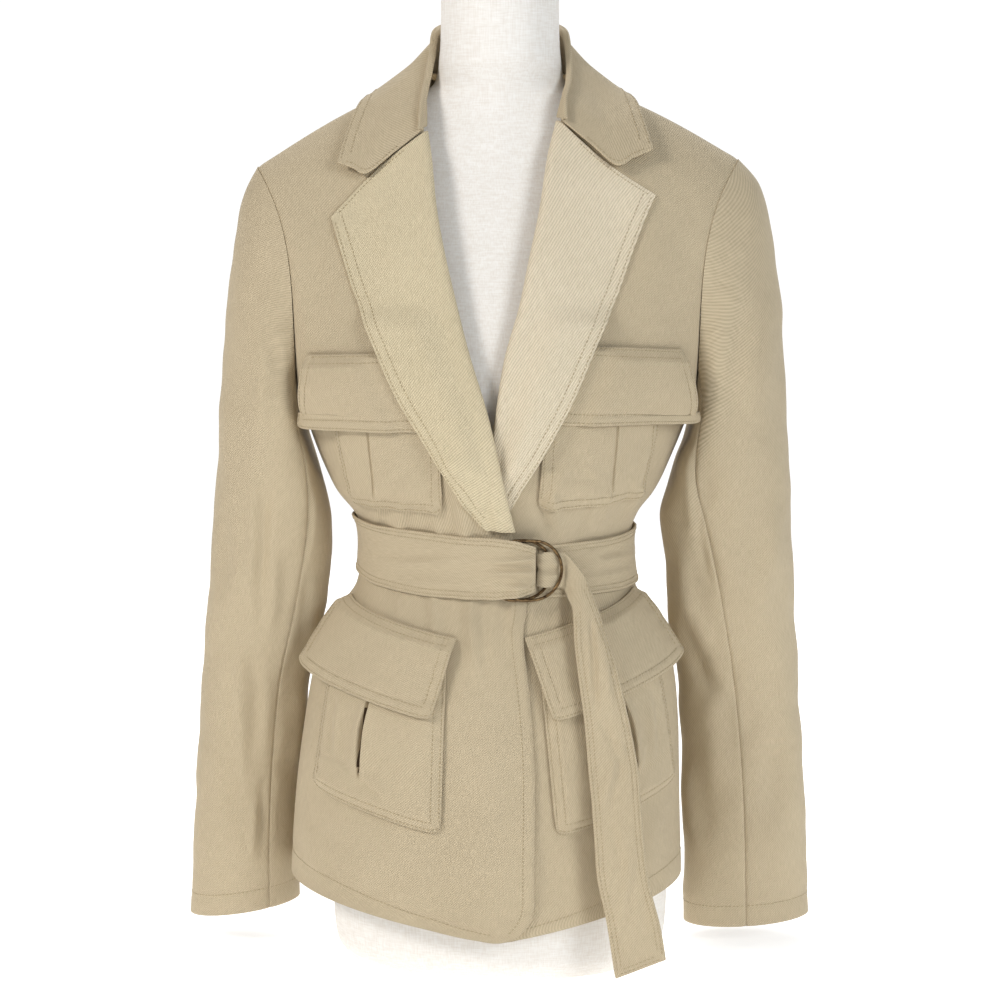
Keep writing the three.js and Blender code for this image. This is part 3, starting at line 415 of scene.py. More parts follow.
def cloth_wall(name, outer, inner, finish, upright=False):
    """A closed wall of cloth between two grids of points, with its edges rolled over, and a
    map in metres of cloth that the weave follows, its warp upright on the body's panels."""
    rows, columns = outer.shape[:2]
    index = np.arange(rows * columns).reshape(rows, columns)
    border = np.concatenate([index[0, :], index[1:, -1], index[-1, -2::-1], index[-2:0:-1, 0]])
    inward = np.concatenate([index[1, :], index[1:, -2], index[-2, -2::-1], index[-2:0:-1, 1]])
    flat_out, flat_in = outer.reshape(-1, 3), inner.reshape(-1, 3)
    middle = (flat_out[border] + flat_in[border]) / 2
    thick = np.linalg.norm(flat_out[border] - flat_in[border], axis=-1, keepdims=True)
    middle = middle + unit(flat_out[border] - flat_out[inward]) * thick * 0.3
    points = np.concatenate([flat_out, flat_in, middle])
    many = rows * columns
    a, b, c, d = index[:-1, :-1], index[:-1, 1:], index[1:, 1:], index[1:, :-1]
    faces = [np.stack([a, b, c, d], -1).reshape(-1, 4),
             np.stack([a, d, c, b], -1).reshape(-1, 4) + many]
    here, after = np.arange(len(border)), np.roll(np.arange(len(border)), -1)
    faces.append(np.stack([border[after], border, 2 * many + here, 2 * many + after], -1))
    faces.append(np.stack([2 * many + after, 2 * many + here, border + many, border[after] + many], -1))
    faces = np.concatenate(faces)
    p, q, r = (points[faces[:, i]] for i in (0, 1, 2))
    if np.sum(p * np.cross(q, r)) + np.sum(p * np.cross(r, points[faces[:, 3]])) < 0:
        faces = faces[:, ::-1]
    mesh = bpy.data.meshes.new(name)
    mesh.from_pydata((points / 1000).tolist(), [], faces.tolist())
    across = run_along(outer * ((1, 1, 0) if upright else (1, 1, 1)), 1)
    across -= across[:, columns // 2][:, None]
    down = run_along(outer, 0)[:, columns // 2][:, None] + 0 * across
    if upright:
        down = outer[..., 2]
    leans = np.cross(outer[5, 6] - outer[5, 5], outer[6, 5] - outer[5, 5])
    if np.dot(leans, outer[5, 5] - inner[5, 5]) * (down[6, 5] - down[5, 5]) < 0:
        across = -across
    cloth = np.stack([across, down], -1).reshape(-1, 2) / 1000
    cloth = np.concatenate([cloth, cloth, cloth[border]])
    corners = np.empty(len(mesh.loops), int)
    mesh.loops.foreach_get("vertex_index", corners)
    mesh.uv_layers.new(name="cloth").data.foreach_set("uv", cloth[corners].ravel())
    return piece_of(name, mesh, finish)


def cotton_twill(name, wale, strength, light, dark, lean=45):
    """Yarn-dyed cotton twill, pressed and matt. The wales run up to the right; wale is how far
    apart they stand in metres, coarser than the real half millimetre so that they show."""
    twill, shader = new_material(name, {"Roughness": 0.82, "Sheen Weight": 0.12,
                                        "Sheen Roughness": 0.45, "Specular IOR Level": 0.25})
    cloth = add_node(twill, "ShaderNodeUVMap", {"uv_map": "cloth"}).outputs[0]
    turned = add_node(twill, "ShaderNodeMapping", links={"Vector": cloth},
                      values={"Rotation": (0, 0, math.radians(lean)),
                              "Scale": (2 * math.pi / wale, 2 * math.pi / wale, 1)})
    wobble = add_node(twill, "ShaderNodeTexNoise", links={"Vector": cloth},
                      values={"Scale": 130, "Detail": 2})
    bent = add_node(twill, "ShaderNodeVectorMath", {"operation": "MULTIPLY_ADD"},
                    {0: wobble.outputs["Color"], 2: turned.outputs[0]}, {1: (1.6, 1.6, 0)})
    split = add_node(twill, "ShaderNodeSeparateXYZ", links={0: bent.outputs[0]})
    wales = add_node(twill, "ShaderNodeMath", {"operation": "SINE"}, {0: split.outputs[0]})
    floats = add_node(twill, "ShaderNodeMath", {"operation": "SINE"}, {0: split.outputs[1]})
    broken = add_node(twill, "ShaderNodeMath", {"operation": "MULTIPLY_ADD"},
                      {0: floats.outputs[0], 2: wales.outputs[0]}, {1: 0.15})
    slub_place = add_node(twill, "ShaderNodeMapping", links={"Vector": cloth},
                          values={"Scale": (1500, 120, 1)})
    slubs = add_node(twill, "ShaderNodeTexNoise", links={"Vector": slub_place.outputs[0]},
                     values={"Scale": 1, "Detail": 2})
    yarn = add_node(twill, "ShaderNodeMath", {"operation": "MULTIPLY_ADD"},
                    {0: slubs.outputs[0], 2: broken.outputs[0]}, {1: 3.2})
    tone = add_node(twill, "ShaderNodeMapRange", links={"Value": yarn.outputs[0]},
                    values={"From Min": 0.1 - 1 / strength, "From Max": 3.1 + 1 / strength})
    object_place = add_node(twill, "ShaderNodeTexCoord").outputs["Object"]
    wash = add_node(twill, "ShaderNodeTexNoise", links={"Vector": object_place},
                    values={"Scale": 9, "Detail": 3})
    tone_wash = add_node(twill, "ShaderNodeMath", {"operation": "MULTIPLY_ADD"},
                         {0: wash.outputs[0], 2: tone.outputs[0]}, {1: 0.35})
    colour = add_node(twill, "ShaderNodeMix", {"data_type": "RGBA"},
                      {"Factor": tone_wash.outputs[0]}, {6: srgb(dark), 7: srgb(light)})
    relief = add_node(twill, "ShaderNodeBump", links={"Height": broken.outputs[0]},
                      values={"Strength": 0.4 * strength, "Distance": 0.0003})
    crumple = add_node(twill, "ShaderNodeTexNoise", links={"Vector": object_place},
                       values={"Scale": 34, "Detail": 5, "Roughness": 0.55, "Distortion": 0.6})
    creased = add_node(twill, "ShaderNodeBump",
                       links={"Height": crumple.outputs[0], "Normal": relief.outputs[0]},
                       values={"Strength": 0.5, "Distance": 0.004})
    twill.node_tree.links.new(colour.outputs[2], shader.inputs["Base Color"])
    twill.node_tree.links.new(creased.outputs[0], shader.inputs["Normal"])
    return twill


khaki_twill = cotton_twill("khaki_cotton_twill", 0.0015, 1, "cdbd9f", "998a6f")


def declare_cloth(piece, node, sewing=()):
    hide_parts(node)
    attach(piece, "root")
    for row in sewing:
        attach(row, "root")


BACK_CREASES = [
    (1, -95, 392, -40, 412, 6.3, -2.9, 4),
    (1, -100, 420, -62, 440, 7.2, 2.9, 5),
    (1, 96, 394, 46, 410, 6.3, -2.6, -4),
    (1, 104, 424, 70, 446, 7.2, 2.6, -4),
    (1, -60, 322, -52, 250, 8.1, 4, 3),
    (1, -18, 322, -16, 262, 7.2, 3.2, -3),
    (1, 34, 322, 40, 248, 8.1, 4, 3),
    (1, 82, 322, 92, 268, 7.2, 3.2, 3),
    (1, -24, 376, -30, 452, 8.1, 2.9, 4),
    (1, 22, 376, 26, 440, 8.1, 2.9, -4),
    (1, -142, 500, -112, 560, 8.1, -3.2, 5),
    (1, 138, 500, 110, 556, 8.1, -3.2, -5),
    (1, -120, 150, -96, 80, 14.4, 3.6, 4),
    (1, 60, 220, 80, 80, 16.2, 4, 4),
]
back_z = np.linspace(45, 727, 190)
level_steps = np.linspace(0, TOP, 1501)
level_heights = through_rows(BODY, level_steps)[:, 0]
back_t = np.interp(back_z, level_heights, level_steps)
half = np.sort(np.concatenate([np.linspace(0, 1, 62), [NECK_PLACE]]))
walls = {}
for wall_out in (0, -CLOTH):
    grids = []
    for side in (RIGHT, LEFT):
        t, s = np.meshgrid(back_t, half, indexing="ij")
        bare = back_base(side, s, t)
        relief = creases(bare, BACK_CREASES) + ripple(bare, 95, 0.8, 1.3)
        width = run_along(bare, 1)
        from_seam = width[:, -1:] - width
        from_shoulder = run_along(bare, 0)[-1:] - run_along(bare, 0)
        relief *= smooth(from_seam / 25) * smooth(from_shoulder / 25)
        relief -= 0.8 * np.exp(-(from_seam / 3) ** 2)
        relief -= 0.7 * np.exp(-(from_shoulder / 3) ** 2) * (s >= NECK_PLACE)
        grids.append(back_point(side, s, t, wall_out + relief))
    walls[wall_out] = np.concatenate([grids[0][:, ::-1], grids[1][:, 1:]], 1)
back = cloth_wall("back_panel", walls[0], walls[-CLOTH], khaki_twill, True)
declare_cloth(back, "back")

# Fronts
# Two panels of the same twill, the wearer's right one lapped over the left. They are folded
# back at the roll line, sewn to the back at the shoulder and side, and stitched near the hem
# and the front edge.
HEM, HEM_CORNER = 45, 36
FOLDS = {
    # top, low, distance from the centre at the top, at the low end, width, height
    "right": [(318, 250, 22, 24, 7, 2.6), (318, 262, 52, 50, 7, 2.4), (318, 285, 80, 84, 8, 2),
              (440, 372, 36, 26, 8, 2.2), (420, 372, 70, 60, 9, 2), (250, 60, 12, 6, 16, 2),
              (240, 60, 60, 78, 22, 3)],
    "left": [(318, 270, 62, 66, 7, 2.4), (318, 285, 88, 92, 8, 2.2), (425, 372, 40, 50, 8, 2.4),
             (415, 372, 66, 72, 8, 2.2), (250, 60, 62, 74, 20, 2.6)],
}
FRONT_CREASES = {
    "right": [
        (-1, -57, 345, -48, 272, 3.2, 2.2, 2), (-1, -22, 348, -13, 246, 3.4, 2.8, -3),
        (-1, -34, 340, -30, 250, 5, -1.8, 2), (-1, 2, 342, 3, 262, 5, -1.8, 0),
        (-1, 12, 340, 9, 284, 3, 1.6, 0), (-1, -72, 340, -64, 280, 4, 1.6, 2),
        (-1, -90, 336, -84, 286, 4, -1.3, 2), (-1, -44, 342, -38, 296, 3, -1.4, 0),
        (-1, -30, 408, -24, 356, 3, 2, 2), (-1, -40, 412, -36, 356, 3.4, -2, 2),
        (-1, -54, 404, -46, 356, 3.4, 1.8, 2), (-1, -70, 408, -82, 358, 4, 1.8, -2),
        (-1, -96, 414, -104, 360, 4, 1.5, 2), (-1, -12, 406, -2, 358, 3, -1.6, 0),
        (-1, 34, 168, -36, 148, 7, -1.2, 3), (-1, 4, 186, -32, 96, 13, 1.4, 0),
        (-1, -126, 456, -108, 388, 5, 1.6, 4), (-1, -118, 640, -98, 552, 12, -1.6, 6),
        (-1, -140, 620, -126, 516, 10, 1.5, 6), (-1, -150, 100, -108, 66, 10, -1.2, 3),
        (-1, -60, 120, -76, 56, 12, 1.2, 3), (-1, -160, 130, -150, 80, 8, 1.2, 0),
    ],
    "left": [
        (-1, 26, 340, 22, 288, 3, 1.6, 0), (-1, 36, 340, 40, 288, 3, -1.6, 0),
        (-1, 50, 338, 45, 290, 4, 1.6, 0), (-1, 28, 412, 44, 362, 3.2, -2.4, -3),
        (-1, 38, 414, 55, 364, 3.2, 2.4, -3), (-1, 68, 410, 58, 362, 4, -2, 3),
        (-1, 84, 414, 77, 364, 4, 2.2, 2), (-1, 101, 416, 92, 368, 4, -1.8, 2),
        (-1, 112, 412, 104, 368, 3.5, 1.6, 2), (-1, 122, 452, 102, 394, 5, 1.6, -4),
        (-1, 98, 640, 92, 556, 12, -1.5, -6), (-1, 132, 612, 120, 516, 10, 1.5, -6),
        (-1, 60, 126, 52, 60, 10, 1.5, 3), (-1, 36, 136, 34, 60, 7, -1.4, 2),
        (-1, 128, 146, 120, 84, 8, 1.5, 0), (-1, 146, 120, 140, 84, 6, -1.2, 0),
    ],
}


def fold_height(side, base):
    x, z = base[..., 0] * side["sign"], base[..., 2]
    height = np.zeros(x.shape)
    for top, low, at_top, at_low, wide, high in FOLDS[side["name"]]:
        down = np.clip((top - z) / (top - low), 0, 1)
        middle = mix(at_top, at_low, down)
        height += high * np.sin(np.pi * np.sqrt(down)) * np.exp(-((x - middle) / wide) ** 2)
    return height + creases(base, FRONT_CREASES[side["name"]])


def front_point(side, s, t, out):
    base = front_base(side, s, t)
    over = 0
    if side is RIGHT:
        over = through_rows(BODY, t)[..., 9] * smooth((62 + base[..., 0]) / 34)
    inside = smooth((1 - s) / 0.12) * smooth((TOP - t) / 0.8) * smooth(t / 0.3)
    out = out + over + fold_height(side, base) * mix(1, inside, (base[..., 2] > 440) | (s > 0.88))
    normal = way_out(front_base, side, s, t)
    point = base + normal * out[..., None]
    point = cut_at_armhole(side, point, base, normal, 1, out, s, t)
    point[..., 1] = np.where(t >= TOP, np.minimum(point[..., 1], base[..., 1]), point[..., 1])
    point[..., 1] -= 0.15 * (((s > 0.999) & (t <= UNDERARM)) | (t >= TOP))
    point[..., 0] -= 0.15 * side["sign"] * ((s > 0.999) & (t >= UNDERARM))
    return point


def level_at(z):
    return np.interp(z, level_heights, level_steps)


# How far along the cloth each place of a level lies from the centre line.
ALONG_T = np.linspace(0, TOP, 301)
ALONG_STEP = 1.5
ALONG_A = np.arange(-44, 241, ALONG_STEP)
for side in (RIGHT, LEFT):
    spots = np.linspace(-0.3, 1.3, 161)
    t, s = np.meshgrid(ALONG_T, spots, indexing="ij")
    lengths = run_along(front_base(side, s, t), 1)
    starts = np.maximum(0, -through_rows(BODY, ALONG_T)[:, side["edge"]])
    lengths += (starts - lengths[:, 30])[:, None]
    side["along"] = np.array([np.interp(ALONG_A, row, spots) for row in lengths])


def place_along(side, a, t):
    i = np.clip(t / ALONG_T[1], 0, 299.999)
    j = np.clip((a - ALONG_A[0]) / ALONG_STEP, 0, len(ALONG_A) - 1.001)
    r, c = i.astype(int), j.astype(int)
    table = side["along"]
    return mix(mix(table[r, c], table[r, c + 1], j - c),
               mix(table[r + 1, c], table[r + 1, c + 1], j - c), i - r)


def on_front(side, a, z, out):
    """A point a millimetres along the cloth from the centre line and z high."""
    inner = z + 0 * a
    for _ in range(5):
        t = level_at(inner)
        s = place_along(side, a, t)
        inner = inner + z - front_base(side, s, t)[..., 2]
    return front_point(side, np.minimum(s, 0.99), t, out)


def grid_out(grid):
    """The way out of a grid of points, from its own neighbours."""
    return unit(np.cross(np.gradient(grid, axis=1), np.gradient(grid, axis=0)))


def seam_line(grid, edge, inset, trim=(0, 0)):
    """The line on a grid of cloth that runs inset mm from one of its edges."""
    turned = {"first column": grid, "last column": grid[:, ::-1],
              "first row": grid.transpose(1, 0, 2), "last row": grid[::-1].transpose(1, 0, 2)}[edge]
    away = run_along(turned, 1)
    normals = grid_out(turned)
    line, ways = [], []
    for place, points, normal in zip(away, turned, normals):
        line.append([np.interp(inset, place, points[:, k]) for k in range(3)])
        ways.append([np.interp(inset, place, normal[:, k]) for k in range(3)])
    line, ways = np.array(line), unit(np.array(ways))
    far = run_along(line, 0)
    keep = (far >= trim[0]) & (far <= far[-1] - trim[1])
    return line[keep], ways[keep]


THREAD = 0.34
STITCH_PITCH, STITCH_LONG = 3.4, 2.5


def topstitching(name, lines, finish, facing):
    """Rows of single stitches, each a short rounded end of thread lying on the cloth. The
    thread is drawn a little thicker than the real one."""
    points, faces = [], []
    turn = np.arange(5) * 2 * np.pi / 5
    for line, ways in lines:
        if len(line) < 3:
            continue
        if np.sum(np.mean(ways, 0) * facing) < 0:
            ways = -ways
        far = run_along(line, 0)
        for start in np.arange(1, far[-1] - STITCH_LONG, STITCH_PITCH):
            ends = [np.array([np.interp(start + d, far, line[:, k]) for k in range(3)])
                    for d in (0, STITCH_LONG)]
            out = unit(np.array([np.interp(start + 1, far, ways[:, k]) for k in range(3)]))
            along = unit(ends[1] - ends[0])
            across = unit(np.cross(out, along))
            first = len(points)
            for share, thick, lift in ((0.0, 0.0, -0.1), (0.15, 0.9, 0.16), (0.85, 0.9, 0.16),
                                       (1.0, 0.0, -0.1)):
                heart = mix(ends[0], ends[1], share) + out * lift
                if thick == 0:
                    points.append(heart)
                    continue
                for angle in turn:
                    points.append(heart + THREAD * thick * (across * np.cos(angle)
                                                            + out * np.sin(angle)))
            for k in range(5):
                n = (k + 1) % 5
                faces.append((first, first + 1 + n, first + 1 + k))
                faces.append((first + 1 + k, first + 1 + n, first + 6 + n, first + 6 + k))
                faces.append((first + 6 + k, first + 6 + n, first + 11))
    mesh = bpy.data.meshes.new(name)
    mesh.from_pydata((np.array(points) / 1000).tolist(), [], faces)
    return piece_of(name, mesh, finish)


# Thread of spun cotton, a shade darker than the cloth it is sewn to.
khaki_thread = new_material("khaki_cotton_thread", {"Base Color": srgb("ab9a78"),
                                                    "Roughness": 0.7, "Sheen Weight": 0.2})[0]

front_z = np.sort(np.concatenate([HEM + HEM_CORNER * (1 - np.cos(np.linspace(0, np.pi / 2, 14))),
                                  np.linspace(84, 727, 196)]))
for side in (RIGHT, LEFT):
    t = level_at(front_z)
    row = through_rows(BODY, t)
    up = np.clip((row[:, 0] - HEM) / HEM_CORNER, 0, 1)
    edge = row[:, side["edge"]] - HEM_CORNER * (1 - np.sqrt(1 - (1 - up) ** 2))
    first = np.where((edge > 0) | (front_z < 84), place_along(side, -edge, t), 0)
    f = np.linspace(0, 1, 64)
    s = mix(first[:, None], 1, f[None, :])
    t = t[:, None] + 0 * s
    bare = front_base(side, s, t)
    relief = ripple(bare, 90, 0.8, 2.1 + side["sign"]) + ripple(bare, 38, 0.3, 8.2)
    width = run_along(bare, 1)
    from_edge, from_seam = width, width[:, -1:] - width
    height = run_along(bare, 0)
    from_shoulder = height[-1:] - height
    relief *= smooth(from_seam / 22) * smooth(from_shoulder / 22) * smooth(height / 12)
    lapped = smooth((120 - np.abs(bare[..., 0])) / 20)
    relief *= mix(1, 0.55, lapped * smooth((300 - bare[..., 2]) / 30))
    relief -= 0.7 * np.exp(-(from_seam / 3) ** 2) + 0.6 * np.exp(-(from_shoulder / 3) ** 2)
    relief -= 0.35 * np.exp(-((height - 20) / 3) ** 2)
    relief -= 0.35 * np.exp(-((from_edge - 9) / 3) ** 2) * smooth((360 - bare[..., 2]) / 20)
    outer, inner = (front_point(side, s, t, wall + relief) for wall in (0, -CLOTH))
    front = cloth_wall("front_panel_" + side["name"], outer, inner, khaki_twill, True)
    sewn = [seam_line(outer[:110], "first column", 9, (24, 0)),
            seam_line(outer, "first row", 20, (14, 6))]
    stitched = topstitching("front_stitching_" + side["name"], sewn, khaki_thread, (0, -1, 0))
    declare_cloth(front, "front_" + side["name"], [stitched])


# Sleeves
# Two-piece sleeves, a top and an under piece of the same twill joined by a seam at the front
# and one at the back, set into the armholes. They hang empty, with a narrow stitched hem.
SLEEVES = {
    # outer x, z, inner x, z, y, reach forward, reach back, turn of the seams, armhole hook left
    "right": np.array([
        [195, 656, 163, 467, 5, 60, 50, 0, 1], [206, 634, 160, 446, 5, 59, 51, 0, 0.5],
        [214, 599, 154, 425, 6, 57, 51, -2, 0.2], [221, 549, 145, 400, 7, 55, 50, -4, 0],
        [226, 488, 140, 376, 9, 52, 49, -6, 0], [231, 430, 138.5, 350, 12, 48, 46, -9, 0],
        [237, 370, 140.5, 322, 16, 44, 42, -12, 0], [243, 303, 147, 285, 22, 40, 38, -15, 0],
        [250, 235, 160, 230, 31, 37, 36, -17, 0], [256, 167, 168, 165, 39, 35, 34, -17, 0],
        [261, 95, 172, 99, 44, 33, 32, -17, 0], [266, 22, 172, 36, 47, 32, 31, -17, 0]], float),
    "left": np.array([
        [192, 662, 158, 467, 5, 60, 50, 0, 1], [210, 640, 156, 446, 5, 59, 51, 0, 0.5],
        [220, 603, 149, 425, 6, 57, 51, -6, 0.2], [227, 549, 138, 397, 7, 55, 50, -12, 0],
        [232, 488, 132, 374, 9, 52, 49, -18, 0], [237, 430, 134, 348, 12, 48, 46, -24, 0],
        [241, 370, 137, 322, 16, 44, 42, -30, 0], [246, 303, 141, 285, 23, 41, 39, -36, 0],
        [251, 235, 149, 230, 33, 38, 37, -40, 0], [256, 167, 154, 165, 41, 36, 35, -43, 0],
        [261, 95, 157, 96, 45, 34, 33, -44, 0], [265, 22, 158, 14, 47, 33, 32, -44, 0]], float),
}
CUFF = 11


def sleeve_base(side, angle, t):
    ring = through_rows(SLEEVES[side["name"]], t)
    turned = np.radians(angle + ring[..., 7])
    c, s = np.cos(turned), np.sin(turned)
    plain = mix(side["under"][0], side["tip"][0], (1 + np.cos(np.radians(angle))) / 2)
    hook = (side["sign"] * armhole(side, angle)[..., 0] - plain) * ring[..., 8]
    x = (ring[..., 0] + ring[..., 2]) / 2 + (ring[..., 0] - ring[..., 2]) / 2 * c + hook
    z = (ring[..., 1] + ring[..., 3]) / 2 + (ring[..., 1] - ring[..., 3]) / 2 * c
    y = ring[..., 4] - s * np.where(s > 0, ring[..., 5], ring[..., 6])
    return np.stack([side["sign"] * x, y, z], -1)


def sleeve_point(side, angle, t, out):
    base = sleeve_base(side, angle, t)
    around = sleeve_base(side, angle + 1, t) - sleeve_base(side, angle - 1, t)
    down = sleeve_base(side, angle, t + 0.02) - sleeve_base(side, angle, t)
    normal = unit(np.cross(around, down)) * side["sign"]
    at_seam = (t < 0.001)[..., None]
    normal = np.where(at_seam, unit(normal + armhole_out(angle)), normal)
    point = base + normal * out[..., None]
    x = np.maximum(np.abs(point[..., 0]), np.abs(base[..., 0])) * side["sign"] + 0.15 * side["sign"]
    point[..., 0] = np.where(at_seam[..., 0], x, point[..., 0])
    return point


SLEEVE_CREASES = {
    "right": [
        (-1, -198, 446, -208, 250, 5, 2.8, 2), (-1, -190, 404, -200, 296, 4.5, -2.8, 2),
        (-1, -213, 284, -215, 130, 5, 2.8, -2), (-1, -183, 350, -192, 268, 4.5, 2.8, 3),
        (-1, -206, 134, -212, 66, 4, 3.2, 2), (-1, -198, 156, -205, 80, 4, -2.8, 2),
        (-1, -222, 530, -224, 400, 8, 2.2, 0), (-1, -188, 530, -196, 436, 6, 2.6, 3),
        (-1, -202, 256, -206, 160, 5, -2.6, 2), (-1, -238, 210, -234, 84, 7, 2, 0),
        (-1, -226, 390, -230, 290, 7, -2, 2), (-1, -152, 404, -160, 330, 6, 3, 2),
        (-1, -160, 336, -166, 246, 5, -3, 2), (-1, -168, 240, -175, 140, 6, 3, 3),
        (1, -160, 420, -190, 330, 7.6, 4.3, 6), (1, -152, 370, -186, 270, 7.6, -4, 6),
        (1, -160, 300, -200, 210, 7.6, 3.8, 5), (1, -236, 300, -204, 230, 8.5, 3.2, -5),
        (1, -170, 220, -206, 140, 7.6, -2.9, 5),
    ],
    "left": [
        (-1, 152, 440, 168, 340, 6.8, 3.8, -6), (-1, 160, 400, 180, 300, 5.1, -3.8, -5),
        (-1, 146, 360, 170, 250, 6.8, 3.5, -5), (-1, 152, 300, 182, 210, 6.8, -3.4, -5),
        (-1, 196, 560, 192, 430, 11.9, -2.9, -6), (-1, 222, 400, 206, 280, 10.2, 2.7, 6),
        (-1, 176, 240, 186, 120, 10.2, 3.2, -4), (-1, 230, 200, 222, 90, 11.9, -2.7, 5),
        (-1, 156, 160, 170, 70, 6.8, 2.9, -4),
        (1, 156, 430, 186, 330, 7.6, 4.3, -6), (1, 150, 370, 182, 270, 7.6, -4, -6),
        (1, 158, 300, 196, 210, 7.6, 3.8, -5), (1, 236, 310, 204, 230, 8.5, 3.2, 5),
        (1, 166, 220, 202, 140, 7.6, -2.9, -5),
    ],
}
front_seam, back_seam = through_rows(BODY, np.array([9.5, 11.0]))[:, 7] * (1, -1)
sleeve_t = np.sort(np.concatenate([np.linspace(0, 0.12, 5)[:-1], np.linspace(0.12, CUFF, 186)]))
for side in (RIGHT, LEFT):
    for part, start, stop in (("top", front_seam, back_seam), ("under", back_seam + 360, front_seam)):
        turn = np.linspace(start - 0.33, stop + 0.33, 74 if part == "top" else 50)
        t, angle = np.meshgrid(sleeve_t, np.where(turn > 180, turn - 360, turn), indexing="ij")
        bare = sleeve_base(side, angle, t)
        heart = through_rows(SLEEVES[side["name"]], t)[..., 4]
        relief = creases(bare, SLEEVE_CREASES[side["name"]], heart)
        relief += ripple(bare, 85, 1.2, 4.4 + side["sign"]) + ripple(bare, 40, 0.4, 6.1)
        width = run_along(bare, 1)
        from_seam = np.minimum(width, width[:, -1:] - width)
        down = run_along(bare, 0)
        relief *= smooth(from_seam / 8) * smooth(down / 26) * smooth((down[-1:] - down) / 30)
        relief -= 0.7 * np.exp(-(from_seam / 2.5) ** 2)
        relief -= 0.35 * np.exp(-((down[-1:] - down - 18) / 3) ** 2)
        outer, inner = (sleeve_point(side, angle, t, wall + relief) for wall in (0, -CLOTH))
        name = side["name"] + "_" + part
        sleeve = cloth_wall("sleeve_panel_" + name, outer, inner, khaki_twill, True)
        hem = seam_line(outer, "last row", 18)
        hem_stitches = topstitching("cuff_stitching_" + name, [hem], khaki_thread,
                                    hem[0].mean(0) - np.array([side["sign"] * 215, 47, 20]))
        flat, area = ((0.26, 0.65), 0.115) if part == "top" else ((0.13, 0.52), 0.042)
        declare_cloth(sleeve, "sleeve_" + name,
                      [hem_stitches])


# Lapels
# Each lapel is the front's own upper edge, faced with a second layer of the same twill and
# turned back at the roll line, with two rows of stitching along its edge. The facings show
# the twill more boldly than the body does, the wearer's left one most of all.
LAPELS = {
    # height of the roll line, the edge along the cloth and its height, fold, bend
    "right": np.array([
        [376, 10, 377, 0.6, 0], [396, 25, 396, 0.65, 0], [425, 42, 422, 0.7, 0],
        [465, 60, 450, 0.8, 0], [510, 82, 485, 0.9, 0], [555, 102, 524, 1, 0],
        [600, 119, 562, 1, 0], [642, 131, 597, 1, 0], [680, 138, 617, 1, 4]], float),
    "left": np.array([
        [388, 8, 392, 0.3, 0], [411, 19, 412, 0.3, 0], [445, 38, 446, 0.5, 0],
        [490, 57, 481, 0.85, 0], [535, 77, 523, 1, 0], [580, 94, 558, 1, 0],
        [620, 107, 592, 1, 0], [656, 117, 616, 1, 0], [688, 126, 634, 1, -4]], float),
}
ROLL = np.array([[-1.5, -0.9], [-3, -0.4], [-4, 1.4], [-3.1, 3.5], [-0.4, 4.6]])
LEAF = np.array([[0.06, 4.8], [0.22, 4.3], [0.42, 3.4], [0.62, 2.7], [0.82, 2.1], [1, 1.7]])


def over_patch(z):
    return 6.2 * smooth((552 - z) / 20) * smooth((z - 406) / 28)


def under_lapel(side, a, z):
    rows = LAPELS[side["name"]]
    edge = np.interp(z, rows[:, 2], rows[:, 1])
    return np.where(z < rows[0, 2], 0, smooth((edge + 26 - a) / 14))


def lapel_grid(side, t, u, half, relief=0):
    rows = through_rows(LAPELS[side["name"]], t)
    level = through_rows(BODY, level_at(rows[:, 0]))
    start = -level[:, side["edge"]]
    run_a, run_z = rows[:, 1] - start, rows[:, 2] - rows[:, 0]
    wide = np.hypot(run_a, run_z)
    fold = rows[:, 3]
    d = [ROLL[0, 0] + (p[0] - ROLL[0, 0]) * fold for p in ROLL] + [p[0] * wide for p in LEAF]
    h = [p[1] * fold if p[1] > 0 else p[1] + 0 * fold for p in ROLL]
    h += [mix(p[1], p[1] * fold, 1 - p[0]) for p in LEAF]
    path = np.stack([np.array(d), np.array(h)], -1)
    count = len(t)
    fine = through_rows(path.reshape(len(path), -1), u).reshape(len(u), count, 2)
    d, h = fine.transpose(1, 0, 2)[..., 0], fine.transpose(1, 0, 2)[..., 1]
    f = d / wide[:, None]
    h = h + over_patch(rows[:, :1] + run_z[:, None] * f) * smooth((f - 0.1) / 0.4)
    turn_d, turn_h = np.gradient(d, axis=1), np.gradient(h, axis=1)
    turn = np.hypot(turn_d, turn_h)
    d, h = d - half * turn_h / turn, h + half * turn_d / turn + relief
    f = d / wide[:, None]
    z = rows[:, :1] + run_z[:, None] * f + rows[:, 4:5] * np.sin(np.pi * np.clip(f, 0, 1))
    return on_front(side, start[:, None] + run_a[:, None] * f, z, h)


bold_twill = cotton_twill("bold_cotton_twill_facing", 0.002, 1.3, "ecdfc6", "ab9c7c", 17)
ribbed_twill = cotton_twill("ribbed_cotton_twill_facing", 0.0018, 1.2, "e0d2b2", "9f9070", 61)
facing = {"right": ribbed_twill, "left": bold_twill}
EDGE_ROWS = (2, 9)  # the two rows of stitching, millimetres from the edge


def edge_puckers(from_edge, length):
    """How far the stitching along an edge draws the cloth in, unevenly."""
    drawn = 0.28 * (1 + 0.6 * np.sin(length / 2.1))
    return sum(drawn * np.exp(-((from_edge - inset) / 1.8) ** 2) for inset in EDGE_ROWS)


